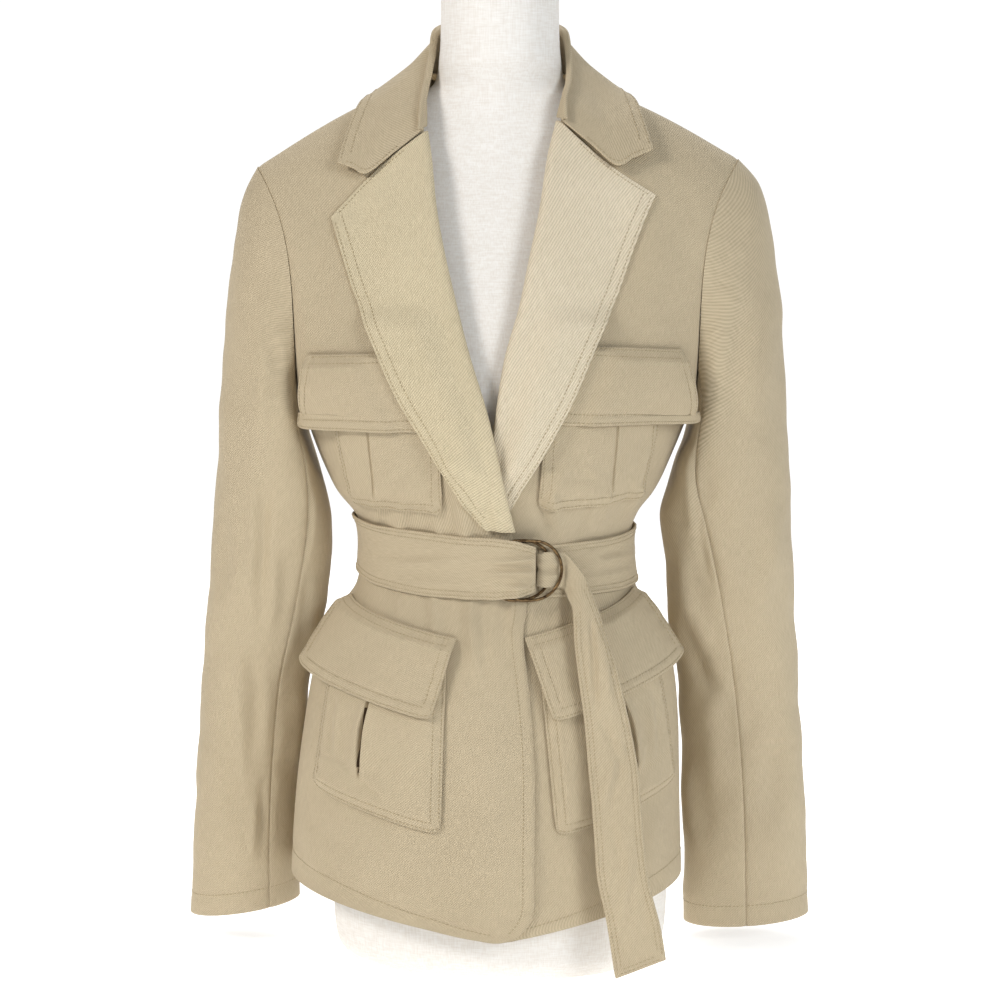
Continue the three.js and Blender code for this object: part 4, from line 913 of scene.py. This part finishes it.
lapel_u = np.concatenate([np.linspace(0, 5, 15)[:-1], np.linspace(5, 10, 60)])
lapel_t = np.linspace(0, 8, 170)
for side in (RIGHT, LEFT):
    bare = lapel_grid(side, lapel_t, lapel_u, 0)
    from_edge = run_along(bare, 1)[:, -1:] - run_along(bare, 1)
    relief = ripple(bare, 120, 0.35, 7 + side["sign"]) * smooth(from_edge / 20)
    relief -= edge_puckers(from_edge, run_along(bare, 0))
    outer, inner = (lapel_grid(side, lapel_t, lapel_u, half, relief) for half in (1, -1))
    lapel = cloth_wall("lapel_leaf_" + side["name"], outer, inner, facing[side["name"]])
    sewn = [seam_line(outer, "last column", 2, (6, 3)), seam_line(outer, "last column", 9, (14, 3))]
    sewn_top = seam_line(outer[:, 22:], "last row", 3, (2, 4))
    stitched = topstitching("lapel_stitching_" + side["name"], sewn + [sewn_top], khaki_thread,
                            (0, -1, 0.3))
    declare_cloth(lapel, "lapel_" + side["name"],
                  [stitched])


# Collar
# A fold-over collar of two layers of twill on a low stand. Its base is sewn round the neck
# and it rolls over at the top, so that the leaf lies on the back and shoulders and meets the
# lapels at the gorge. Two rows of stitching follow its edge.
COLLAR = np.array([
    # base x, y, z, roll x, y, z, middle x, y, z, edge x, y, z
    [-58, -38, 688, -61.5, -49, 686, -104, -59, 652.5, -127, -49.5, 660],
    [-58.5, -27, 704, -60, -38, 704, -92, -44, 682.5, -122, -34, 679.5],
    [-59, -10, 720, -57, -19, 721, -84, -18, 710, -114, -11, 702.5],
    [-59, 6, 732, -53, 2, 743, -75, 6, 731.5, -108, 9, 710.5],
    [-54, 24, 731, -51, 18, 762, -73, 21, 737, -102, 28, 711.5],
    [-42, 44, 727, -42, 44, 769, -59, 57, 744, -78, 72, 716],
    [-22, 57, 724, -24, 60, 771, -31, 71, 747, -41, 82, 716],
    [0, 61, 723.5, 0, 65, 772, 0, 75, 748, 0, 85, 716],
    [22, 57, 724, 24, 60, 771, 31, 71, 747, 41, 82, 716],
    [41, 44, 727, 42, 44, 769, 59, 57, 744, 77, 72, 717],
    [52.5, 24, 730, 51, 18, 762, 72, 21, 737, 99, 27, 712],
    [54.5, 6, 732, 53.5, 2, 743, 76, 6, 731, 105, 9, 712],
    [53.5, -11, 722, 53, -18, 724.5, 80, -14, 711.5, 110, -8, 705.5],
    [49, -26, 709, 49.5, -36, 710.5, 84, -41, 688.5, 115, -30, 689],
    [45, -37, 695, 49.5, -48.5, 694, 91, -59, 659, 120, -45, 670]], float)
COLLAR_FOLD = 2.3
stations = np.linspace(0, 14, 190)
base, roll, middle, edge = (through_rows(COLLAR, stations)[:, i:i + 3] for i in (0, 3, 6, 9))
before = through_rows(COLLAR, np.maximum(0, stations - 0.3))[:, 3:6]
after = through_rows(COLLAR, np.minimum(14, stations + 0.3))[:, 3:6]
down = unit(middle - roll)
out = unit(np.cross(down, after - before))
heart = roll + down * COLLAR_FOLD
fold = [heart - COLLAR_FOLD * (down * math.sin(math.radians(a)) + out * math.cos(math.radians(a)))
        for a in (0, 45, 90, 135, 180)]
leaf_middle = middle + out * COLLAR_FOLD * 0.5
path = [base, (base + fold[0]) / 2, *fold, (fold[4] + leaf_middle) / 2, leaf_middle,
        (leaf_middle + edge) / 2, edge]
path = np.array(path).reshape(11, -1)
collar_u = np.concatenate([np.linspace(0, 2, 18)[:-1], np.linspace(2, 6, 18)[:-1],
                           np.linspace(6, 10, 34)])
collar_mid = through_rows(path, collar_u).reshape(len(collar_u), -1, 3).transpose(1, 0, 2)
collar_out = grid_out(collar_mid)
from_edge = run_along(collar_mid, 1)[:, -1:] - run_along(collar_mid, 1)
length = run_along(collar_mid, 0)
relief = ripple(collar_mid, 110, 0.3, 5.5) * smooth(from_edge / 15) * smooth(length / 8)
relief -= edge_puckers(from_edge, length)
walls = [collar_mid + collar_out * (half + relief)[..., None] for half in (1, -1)]
collar = cloth_wall("collar_leaf", walls[0], walls[1], khaki_twill)
face = walls[0] if collar_out[95, -4, 1] > 0 else walls[1]
sewn = [seam_line(face, "last column", inset, (inset, inset)) for inset in EDGE_ROWS]
sewn += [seam_line(face[:, 40:], "first row", 3, (3, 3)), seam_line(face[:, 40:], "last row", 3, (3, 3))]
COLLAR_WAYS = [(0, 0.3, 1), (0, 0.3, 1), (0, -1, 0.5), (0, -1, 0.5)]
collar_rows = [topstitching("collar_stitching_%d" % i, [line], khaki_thread, way)
               for i, (line, way) in enumerate(zip(sewn, COLLAR_WAYS))]
declare_cloth(collar, "collar",
              collar_rows)


# Pockets
# Four patch pockets of the body's twill, each with an inverted pleat down it, sewn to the
# fronts round the sides and bottom with two rows of stitching. The hip pleats gape.
POCKETS = {
    # inner top, outer top, inner low, outer low corners, the pleat's place, how full it is
    "chest_right": (47.5, 498, 146, 496, 44, 390, 136, 390, 0.62, 2.2),
    "chest_left": (37, 500, 140, 500, 30, 392, 130, 395, 0.58, 2.2),
    "hip_right": (42, 272, 150, 286, 47, 134, 171, 158, 0.56, 3.4),
    "hip_left": (31, 270, 138, 292, 45, 132, 172, 160, 0.56, 3.4),
}
PATCH_GAP, CORNER = 1.7, 0.09
PATCH_ROWS = (1.8, 8.5)  # the two rows of stitching, millimetres from the edge
PATCH_SIDES = {"chest_right": RIGHT, "chest_left": LEFT, "hip_right": RIGHT, "hip_left": LEFT}


def patch_place(side, patch, u, v):
    near = np.clip(1 - np.minimum(u, 1 - u) / CORNER, 0, 1)
    down = v - 0.62 * CORNER * (1 - np.sqrt(1 - near ** 2)) * np.clip((v - 0.86) / 0.14, 0, 1)
    a = mix(mix(patch[0], patch[2], u), mix(patch[4], patch[6], u), down)
    z = mix(mix(patch[1], patch[3], u), mix(patch[5], patch[7], u), down)
    return a, z, under_lapel(side, a, z)


def patch_puckers(run, near, uneven):
    """How far the stitching along a patch or flap draws the cloth in."""
    drawn = 0.55 * (1 + uneven * np.sin(run / 2.3))
    return sum(drawn * np.exp(-((near - inset) / 1.6) ** 2) for inset in PATCH_ROWS)


def patch_stitches(outer, start):
    return [seam_line(outer, edge, inset, trim) for inset in PATCH_ROWS
            for edge, trim in (("first column", (start, inset)), ("last column", (start, inset)),
                               ("last row", (inset, inset)))]


def pleat_place(pocket, v):
    """The hip pleats hang open in a bent line and the chest pleats lean a little."""
    bent = 0.045 * smooth((v - 0.2) / 0.35) - 0.012 * smooth((v - 0.6) / 0.2) - 0.02
    return pocket[8] + (bent if pocket[9] > 3 else 0.04 * (v - 0.55))


PATCH_CREASES = {
    # across the patch and down it, in millimetres
    "hip": [(-1, 78, 104, 40, 122, 4, 1.2, 3), (-1, 76, 112, 44, 130, 3.5, -1.2, 3),
            (-1, 100, 50, 92, 112, 4, 1.3, -4), (-1, 108, 40, 100, 110, 4, -1.2, -4),
            (-1, 28, 60, 34, 116, 8, 0.9, 3), (-1, 90, 84, 76, 112, 3, 1, 0)],
    "chest": [(-1, 72, 56, 66, 96, 4, 1, 2), (-1, 30, 70, 54, 98, 4, 0.9, -3),
              (-1, 84, 50, 80, 92, 3, -0.9, 0), (-1, 20, 50, 26, 92, 5, -0.8, 0)],
}


def pocket_relief(name, wide, deep, u, v):
    """Puckers along the stitching, the pleat with its lips, and loose creases over the patch."""
    pocket = POCKETS[name]
    hip = name.startswith("hip")
    across = (u - pleat_place(pocket, v)) * wide
    opened = smooth(((0.82 if hip else 0.97) - v) / 0.12) * (1 if hip else 0.6)
    gape = smooth((v - 0.3) / 0.2) * smooth((0.8 - v) / 0.2) if hip else 0.1
    groove = -(12 if hip else 2.8) / (1 + (across / (0.85 + 0.6 * gape)) ** 6) * opened
    lips = (3.2 if hip else 0.9) * opened * (np.exp(-((across - 3.6) / 4.5) ** 2)
                                            + 0.7 * np.exp(-((across + 3.6) / 4) ** 2))
    lips *= 0.25 + 0.75 * smooth((v - 0.3) / 0.2)  # pressed flat under the flap
    from_side = np.minimum(u, 1 - u) * wide
    from_low = (1 - v) * deep
    near = np.minimum(from_side, from_low)
    run = np.where(from_side < from_low, v * deep, u * wide)
    sewn = -patch_puckers(run, near, 0.7)
    flat_place = np.stack([u * wide, -100 + 0 * u, v * deep], -1)
    loose = creases(flat_place, PATCH_CREASES["hip" if hip else "chest"])
    slack = smooth((near - 9) / 10)
    return groove, (lips + loose) * slack + sewn


# Painted shade inside the fold, where hardly any light comes in. The real pleat is deeper than the one
# here can be,
# so its shade is painted: a dark brown colour on the fold's own faces stands in for the shadow.
painted_pleat_shade = new_material("painted_shade_inside_the_pleat",
                           {"Base Color": srgb("4b3b2a"), "Roughness": 0.9})[0]

for name, pocket in POCKETS.items():
    side = PATCH_SIDES[name]
    wide = math.hypot(pocket[6] - pocket[4], pocket[7] - pocket[5])
    deep = pocket[1] - pocket[5]
    fine = pocket[8] + np.linspace(-0.045, 0.045, 23)
    places = np.sort(np.concatenate([np.linspace(0, 0.1, 10)[:-1], np.linspace(0.1, fine[0], 22)[:-1],
                                     fine, np.linspace(fine[-1], 0.9, 16)[1:],
                                     np.linspace(0.9, 1, 10)[1:]]))
    v, u = np.meshgrid(np.concatenate([np.linspace(0, 0.84, 52), np.linspace(0.84, 1, 18)[1:]]),
                       places, indexing="ij")
    u = u + (pleat_place(pocket, v) - pocket[8]) * np.sin(np.pi * u)
    a, z, pressed = patch_place(side, pocket, u, v)
    full = smooth(np.minimum(np.minimum(u, 1 - u), 1 - v) / CORNER) * pocket[9]
    full *= 0.5 + 0.5 * smooth(v * 2.5)
    groove, rest = pocket_relief(name, wide, deep, u, v)
    stand = PATCH_GAP + np.maximum(full + groove + rest, -1.2) * (1 - pressed)
    outer = on_front(side, a, z, stand + CLOTH)
    inner = on_front(side, a, z, stand)
    patch = cloth_wall("pocket_patch_" + name, outer, inner, khaki_twill)
    patch.data.materials.append(painted_pleat_shade)
    # The faces deepest in the hip pleats' groove take the painted shade instead of the twill.
    across_faces = len(places) - 1
    for face in patch.data.polygons[:across_faces * (len(v) - 1)]:
        face.material_index = int(groove[face.index // across_faces, face.index % across_faces] < -6)
    stitched = topstitching("pocket_stitching_" + name, patch_stitches(outer, 4), khaki_thread,
                            (0, -1, 0))
    declare_cloth(patch, "pocket_" + name,
                  [stitched])


# Flaps
# A two-layer flap over each pocket, sewn along its top with two rows of stitching and turned
# down, with two rows along the sides and free edge. The free edge stands off the pocket.
FLAPS = {
    # inner top, outer top, inner low, outer low corners, lift, flare
    "chest_right": (58, 514, 162, 510, 54, 454, 177, 453, 5, 4),
    "chest_left": (48, 520, 152, 514, 43, 459, 172, 458, 5, 7),
    "hip_right": (34, 289, 155, 309, 53, 226, 186, 252, 6, 6),
    "hip_left": (19.5, 290, 138, 317, 41, 225, 167, 260, 6, 6),
}
for name, flap in FLAPS.items():
    side = PATCH_SIDES[name]
    wide = math.hypot(flap[6] - flap[4], flap[7] - flap[5])
    deep = flap[1] - flap[5]
    v, u = np.meshgrid(np.concatenate([np.linspace(0, 0.22, 16), np.linspace(0.22, 1, 34)[1:]]),
                       np.linspace(0, 1, 76), indexing="ij")
    a, z, pressed = patch_place(side, flap, u, v)
    free = 4.7 * smooth(v / 0.18) + flap[8] * v * v * 0.5
    free += flap[9] * np.maximum(0, u - 0.6) * 2.5 * v
    from_side, from_low = np.minimum(u, 1 - u) * wide, (1 - v) * deep
    near = np.minimum(from_side, from_low)
    run = np.where(from_side < from_low, v * deep, u * wide)
    relief = 0.35 * np.sin(2.6 * np.pi * u + 1) * v * v
    relief -= patch_puckers(run, near, 0.6)
    relief -= 0.4 * np.exp(-((v * deep - 7.5) / 1.6) ** 2) * (1 + 0.5 * np.sin(run / 2.3))
    stand = PATCH_GAP + mix(free + np.maximum(relief, -2), 2.2 * smooth(v / 0.07), pressed)
    outer = on_front(side, a, z, stand + 2)
    inner = on_front(side, a, z, stand)
    leaf = cloth_wall("flap_leaf_" + name, outer, inner, khaki_twill)
    sewn = patch_stitches(outer, 9)
    sewn += [seam_line(outer, "first row", inset, (2, 2)) for inset in (1.5, 7.5)]
    stitched = topstitching("flap_stitching_" + name, sewn, khaki_thread, (0, -1, 0))
    flat = (0.125, 0.065) if name[0] == "c" else (0.148, 0.07)
    declare_cloth(leaf, "flap_" + name, [stitched])


# Belt
# A sash belt of two layers of twill, stitched along both edges. It is folded round the bars
# of the two rings at the front, where it is gathered, and runs right round the waist.
BELT_LOOP = np.array([
    # along from the centre, out, low, high
    [7, 1.8, 330, 358], [-8, 1.8, 329, 359], [-18, 1.8, 328, 361], [-23, 2.4, 328, 362],
    [-25.6, 4.8, 328, 363], [-23.6, 7.5, 326.5, 364], [-18, 8.9, 324.5, 366.5],
    [-12, 9.4, 323, 369], [-3.5, 8.7, 322, 370.5], [4, 7, 321, 371], [12, 4.4, 321, 371],
    [22, 2.6, 321, 371], [36, 2.4, 321, 371]], float)
BELT_ROUND = np.array([
    # part, place, low, high
    [0, 0.32, 321, 372], [0, 0.43, 322, 372.5], [0, 0.54, 323, 373], [0, 0.65, 324, 374],
    [0, 0.76, 326, 374.5], [0, 0.87, 328, 375], [0, 0.97, 329, 375], [1, 0.94, 329, 375],
    [1, 0.84, 329, 375], [1, 0.72, 328, 375], [1, 0.6, 327, 375], [1, 0.45, 326, 374],
    [1, 0.3, 326, 374], [1, 0.15, 326, 374], [1, 0, 326, 374], [2, 0.15, 325, 373],
    [2, 0.3, 325, 373], [2, 0.45, 324, 372], [2, 0.6, 322, 370], [2, 0.72, 321, 368],
    [2, 0.84, 320, 366], [2, 0.94, 319, 365], [3, 0.97, 319, 365], [3, 0.87, 319, 364.5],
    [3, 0.76, 319, 364], [3, 0.65, 319, 363.5], [3, 0.54, 320, 363], [3, 0.43, 320.5, 363]], float)
BELT_OUT, BELT_THICK = 2.7, 1.8
STRAP_ROWS = (2, 5.5)  # the two rows of stitching, millimetres from each edge


def point_at(surface, bare, side, s, z, out):
    low, high = np.zeros(z.shape), np.full(z.shape, float(TOP))
    for _ in range(22):
        middle = (low + high) / 2
        below = bare(side, s + 0 * z, middle)[..., 2] < z
        low, high = np.where(below, middle, low), np.where(below, high, middle)
    return surface(side, s + 0 * z, (low + high) / 2, out)


BELT_ROWS = 44
belt_f = np.linspace(0, 1, BELT_ROWS)
columns = [on_front(RIGHT, np.full(BELT_ROWS, a), mix(low, high, belt_f), out + 0 * belt_f)
           for a, out, low, high in BELT_LOOP]
for part, s, low, high in BELT_ROUND:
    side = RIGHT if part < 2 else LEFT
    surface, bare = (front_point, front_base) if part in (0, 3) else (back_point, back_base)
    columns.append(point_at(surface, bare, side, s, mix(low, high, belt_f), BELT_OUT))
for a, out, low, high in ((46, 2, 321, 362), (31, 1.5, 322, 362)):
    columns.append(on_front(LEFT, np.full(BELT_ROWS, float(a)), mix(low, high, belt_f), out + 0 * belt_f))
belt_rows = np.array(columns)
count = len(belt_rows) - 1
belt_u = np.concatenate([np.linspace(0, 10, 90)[:-1], np.linspace(10, count, 200)])
belt_mid = through_rows(belt_rows.reshape(count + 1, -1), belt_u).reshape(-1, BELT_ROWS, 3)
belt_out = grid_out(belt_mid)
belt_out *= -np.sign(belt_out[120, 22, 1])
BELT_CREASES = [
    (-1, 42, 362, -4, 357, 2, -2, 1), (-1, 44, 356, -16, 352, 2.4, 2.2, 1),
    (-1, 42, 349, -8, 348, 1.8, -2.4, 1), (-1, 44, 343, -22, 341, 2.4, 2.2, -1),
    (-1, 42, 336, -6, 337, 1.8, -2.2, 0), (-1, 42, 330, -2, 331, 2, 1.8, 0),
    (-1, -4, 353, -96, 338, 4, 1.3, -3), (-1, -36, 357, -112, 350, 3.4, -1.1, 2),
    (-1, -16, 334, -80, 331, 3, 1, 1), (-1, 56, 356, 116, 344, 4, 1.4, -4),
    (-1, 52, 340, 104, 352, 3.4, -1.2, 3), (-1, 60, 334, 112, 332, 3, 1, 0),
    (1, -90, 348, 60, 352, 5, 1.2, 4), (1, -20, 360, 100, 340, 5, -1, 3),
]
relief = creases(belt_mid, BELT_CREASES) + ripple(belt_mid, 60, 0.25, 3.3)
from_edge = np.minimum(run_along(belt_mid, 1), run_along(belt_mid[:, ::-1], 1)[:, ::-1])
relief = np.maximum(relief, -1.1)  # so that no trough reaches the rings' bars inside the fold
relief *= smooth(from_edge / 4) * smooth((belt_u - 4.5) / 1.5)[:, None]
relief -= 0.3 * np.exp(-((from_edge - 5) / 2) ** 2)
walls = [belt_mid + belt_out * (half + relief)[..., None] for half in (BELT_THICK / 2, -BELT_THICK / 2)]
belt = cloth_wall("sash_belt", walls[0], walls[1], khaki_twill)
belt_lines = [seam_line(walls[0], edge, inset) for edge in ("first column", "last column")
              for inset in STRAP_ROWS]
belt_sewing = topstitching("belt_stitching", belt_lines, khaki_thread, belt_out[60, 20])
declare_cloth(belt, "belt",
              [belt_sewing])


# Rings
# Two like D-rings of antiqued brass wire, each a straight bar held in the belt's fold and a
# round bow that the tail is threaded through.
RING_HALF, RING_Z, RING_WIRE, RING_STEPS = 23.5, 344, 1.2, 128
RINGS_TWO = {"inner": (3.5, -103.2, 40.8, -92), "outer": (12, -104, 48.4, -95.3)}
antique_brass, brass = new_material("antiqued_brass", {"Metallic": 1})
brass_place = add_node(antique_brass, "ShaderNodeTexCoord").outputs["Object"]
tarnish = add_node(antique_brass, "ShaderNodeTexNoise", links={"Vector": brass_place},
                   values={"Scale": 320, "Detail": 4})
brass_tone = add_node(antique_brass, "ShaderNodeValToRGB", links={"Fac": tarnish.outputs[0]})
brass_tone.color_ramp.elements[0].color = srgb("4a3a2a")
brass_tone.color_ramp.elements[0].position = 0.35
brass_tone.color_ramp.elements[1].color = srgb("8d7350")
brass_tone.color_ramp.elements[1].position = 0.7
brass_rough = add_node(antique_brass, "ShaderNodeMapRange", links={"Value": tarnish.outputs[0]},
                       values={"To Min": 0.24, "To Max": 0.42})
antique_brass.node_tree.links.new(brass_tone.outputs["Color"], brass.inputs["Base Color"])
antique_brass.node_tree.links.new(brass_rough.outputs[0], brass.inputs["Roughness"])

bow = [(0.38 + 0.62 * math.cos(a), math.sin(a)) for a in np.radians(np.linspace(-90, 90, 15))]
RING_SHAPE = bow + [(0.2, 1), (0.06, 0.97), (0, 0.88), (0, 0.4), (0, -0.4), (0, -0.88),
                    (0.06, -0.97), (0.2, -1)]
for name, (bar_x, bar_y, bow_x, bow_y) in RINGS_TWO.items():
    corners = np.array([[mix(bar_x, bow_x, f), mix(bar_y, bow_y, f), RING_Z + RING_HALF * h]
                        for f, h in RING_SHAPE])
    closed = np.concatenate([corners[-1:], corners, corners[:3]])
    path = through_rows(closed, 1 + np.linspace(0, len(corners), RING_STEPS + 1)[:-1])
    along = unit(np.roll(path, -1, 0) - np.roll(path, 1, 0))
    side_way = unit(np.cross(path[40] - path[0], path[80] - path[0]))
    outward = unit(np.cross(along, side_way[None]))
    outward *= np.sign(np.sum(outward * (path - path.mean(0)), -1, keepdims=True))
    deselect_all()
    bpy.ops.mesh.primitive_torus_add(major_segments=RING_STEPS, minor_segments=14, major_radius=1,
                                     minor_radius=0.2)
    ring = bpy.context.object
    ring.name = "brass_ring_" + name
    for vertex in ring.data.vertices:
        around = math.atan2(vertex.co.y, vertex.co.x) % (2 * math.pi) / (2 * math.pi)
        place = int(round(around * RING_STEPS)) % RING_STEPS
        off = (math.hypot(vertex.co.x, vertex.co.y) - 1) / 0.2 * RING_WIRE
        spot = path[place] + outward[place] * off + side_way * vertex.co.z / 0.2 * RING_WIRE
        vertex.co = (spot / 1000).tolist()
    ring.data.shade_smooth()
    ring.data.materials.append(antique_brass)
    select_only(ring)
    bpy.ops.object.mode_set(mode="EDIT")
    bpy.ops.mesh.select_all(action="SELECT")
    bpy.ops.mesh.normals_make_consistent(inside=False)
    bpy.ops.object.mode_set(mode="OBJECT")
    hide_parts("ring_" + name)
    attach(ring, "root")


# Belt tail
# The free end of the belt, a long strip of two layers of twill, stitched along its edges. It
# comes through the rings, turns down over them and hangs in front of the left front.
TAIL = np.array([
    # inner or lower edge x, y, z, outer or upper edge x, y, z, how far the middle stands out
    [29.5, -95.1, 331, 29.5, -95.1, 357, 0.3], [32.5, -96.6, 330.5, 32.5, -96.6, 357, 0.4],
    [36.5, -96.4, 330, 36.5, -96.4, 357.5, 0.4], [41, -94.8, 330, 41, -94.8, 357.5, 0.3],
    [45, -92.8, 329.5, 45, -92.6, 357, 0.2], [49.5, -91, 328.5, 50, -90.6, 356.5, 0],
    [52.5, -93, 325, 57, -91.5, 350, 1], [54.5, -98, 320, 66, -95, 338, 2],
    [57, -103, 314.5, 73.5, -99, 321, 3], [58, -108, 303, 80, -103, 303, 3],
    [58.6, -111, 288, 85, -108, 288, 3], [61.4, -115, 264, 91.5, -113, 266, 3],
    [66.5, -118, 226, 101.5, -115, 223, 2], [69.7, -120, 189, 108, -116, 188, 1.5],
    [72.2, -121, 165, 110, -117, 164, 1], [74.7, -121, 132, 112.8, -117, 131, 1],
    [77.3, -121, 100, 117, -117, 98, 1.5], [84.6, -120, 66, 126.5, -115, 61, 1],
    [91.9, -119, 19, 131.3, -114, 32.5, 0]], float)
tail_rows = through_rows(TAIL, np.linspace(0, 18, 230))
f = np.linspace(0, 1, 30)[None, :, None]
tail_mid = mix(tail_rows[:, None, 0:3], tail_rows[:, None, 3:6], f)
tail_mid[..., 1] -= tail_rows[:, None, 6] * 4 * f[..., 0] * (1 - f[..., 0])
tail_out = grid_out(tail_mid)
tail_out *= -np.sign(tail_out[150, 15, 1])
TAIL_CREASES = [
    (-1, 60, 312, 60, 232, 2.6, 1.8, 1), (-1, 70, 318, 75, 222, 2.4, -2.6, 1),
    (-1, 80, 304, 88, 226, 3.4, 2, -1), (-1, 76, 236, 97, 172, 3.4, -1.6, 3),
    (-1, 98, 216, 79, 146, 3.4, 1.8, -3), (-1, 82, 156, 99, 92, 4, -1.6, 2),
    (-1, 102, 126, 92, 56, 4, 1.8, 2), (-1, 112, 100, 119, 42, 4, -1.4, 0),
]
relief = creases(tail_mid, TAIL_CREASES) + ripple(tail_mid, 70, 0.4, 9.1)
from_edge = np.minimum(run_along(tail_mid, 1), run_along(tail_mid[:, ::-1], 1)[:, ::-1])
length = run_along(tail_mid, 0)
relief *= smooth(from_edge / 5) * smooth((length - 40) / 20)
# Between the rings the strap is pinched into two lobes.
relief -= 2 * np.exp(-((from_edge - 13) / 2.5) ** 2) * smooth((26 - length) / 6)
relief -= 0.3 * (1 + 0.5 * np.sin(length / 2.3)) * np.exp(-((from_edge - 5) / 1.8) ** 2)
walls = [tail_mid + tail_out * (half + relief)[..., None] for half in (1, -1)]
tail = cloth_wall("belt_tail_strip", walls[0], walls[1], khaki_twill)
tail_lines = [seam_line(walls[0], edge, inset, (50, inset)) for edge in ("first column", "last column")
              for inset in STRAP_ROWS]
tail_lines += [seam_line(walls[0], "last row", inset, (inset, inset)) for inset in STRAP_ROWS]
tail_sewing = topstitching("belt_tail_stitching", tail_lines, khaki_thread, (0, -1, 0))
declare_cloth(tail, "belt_tail", [tail_sewing])
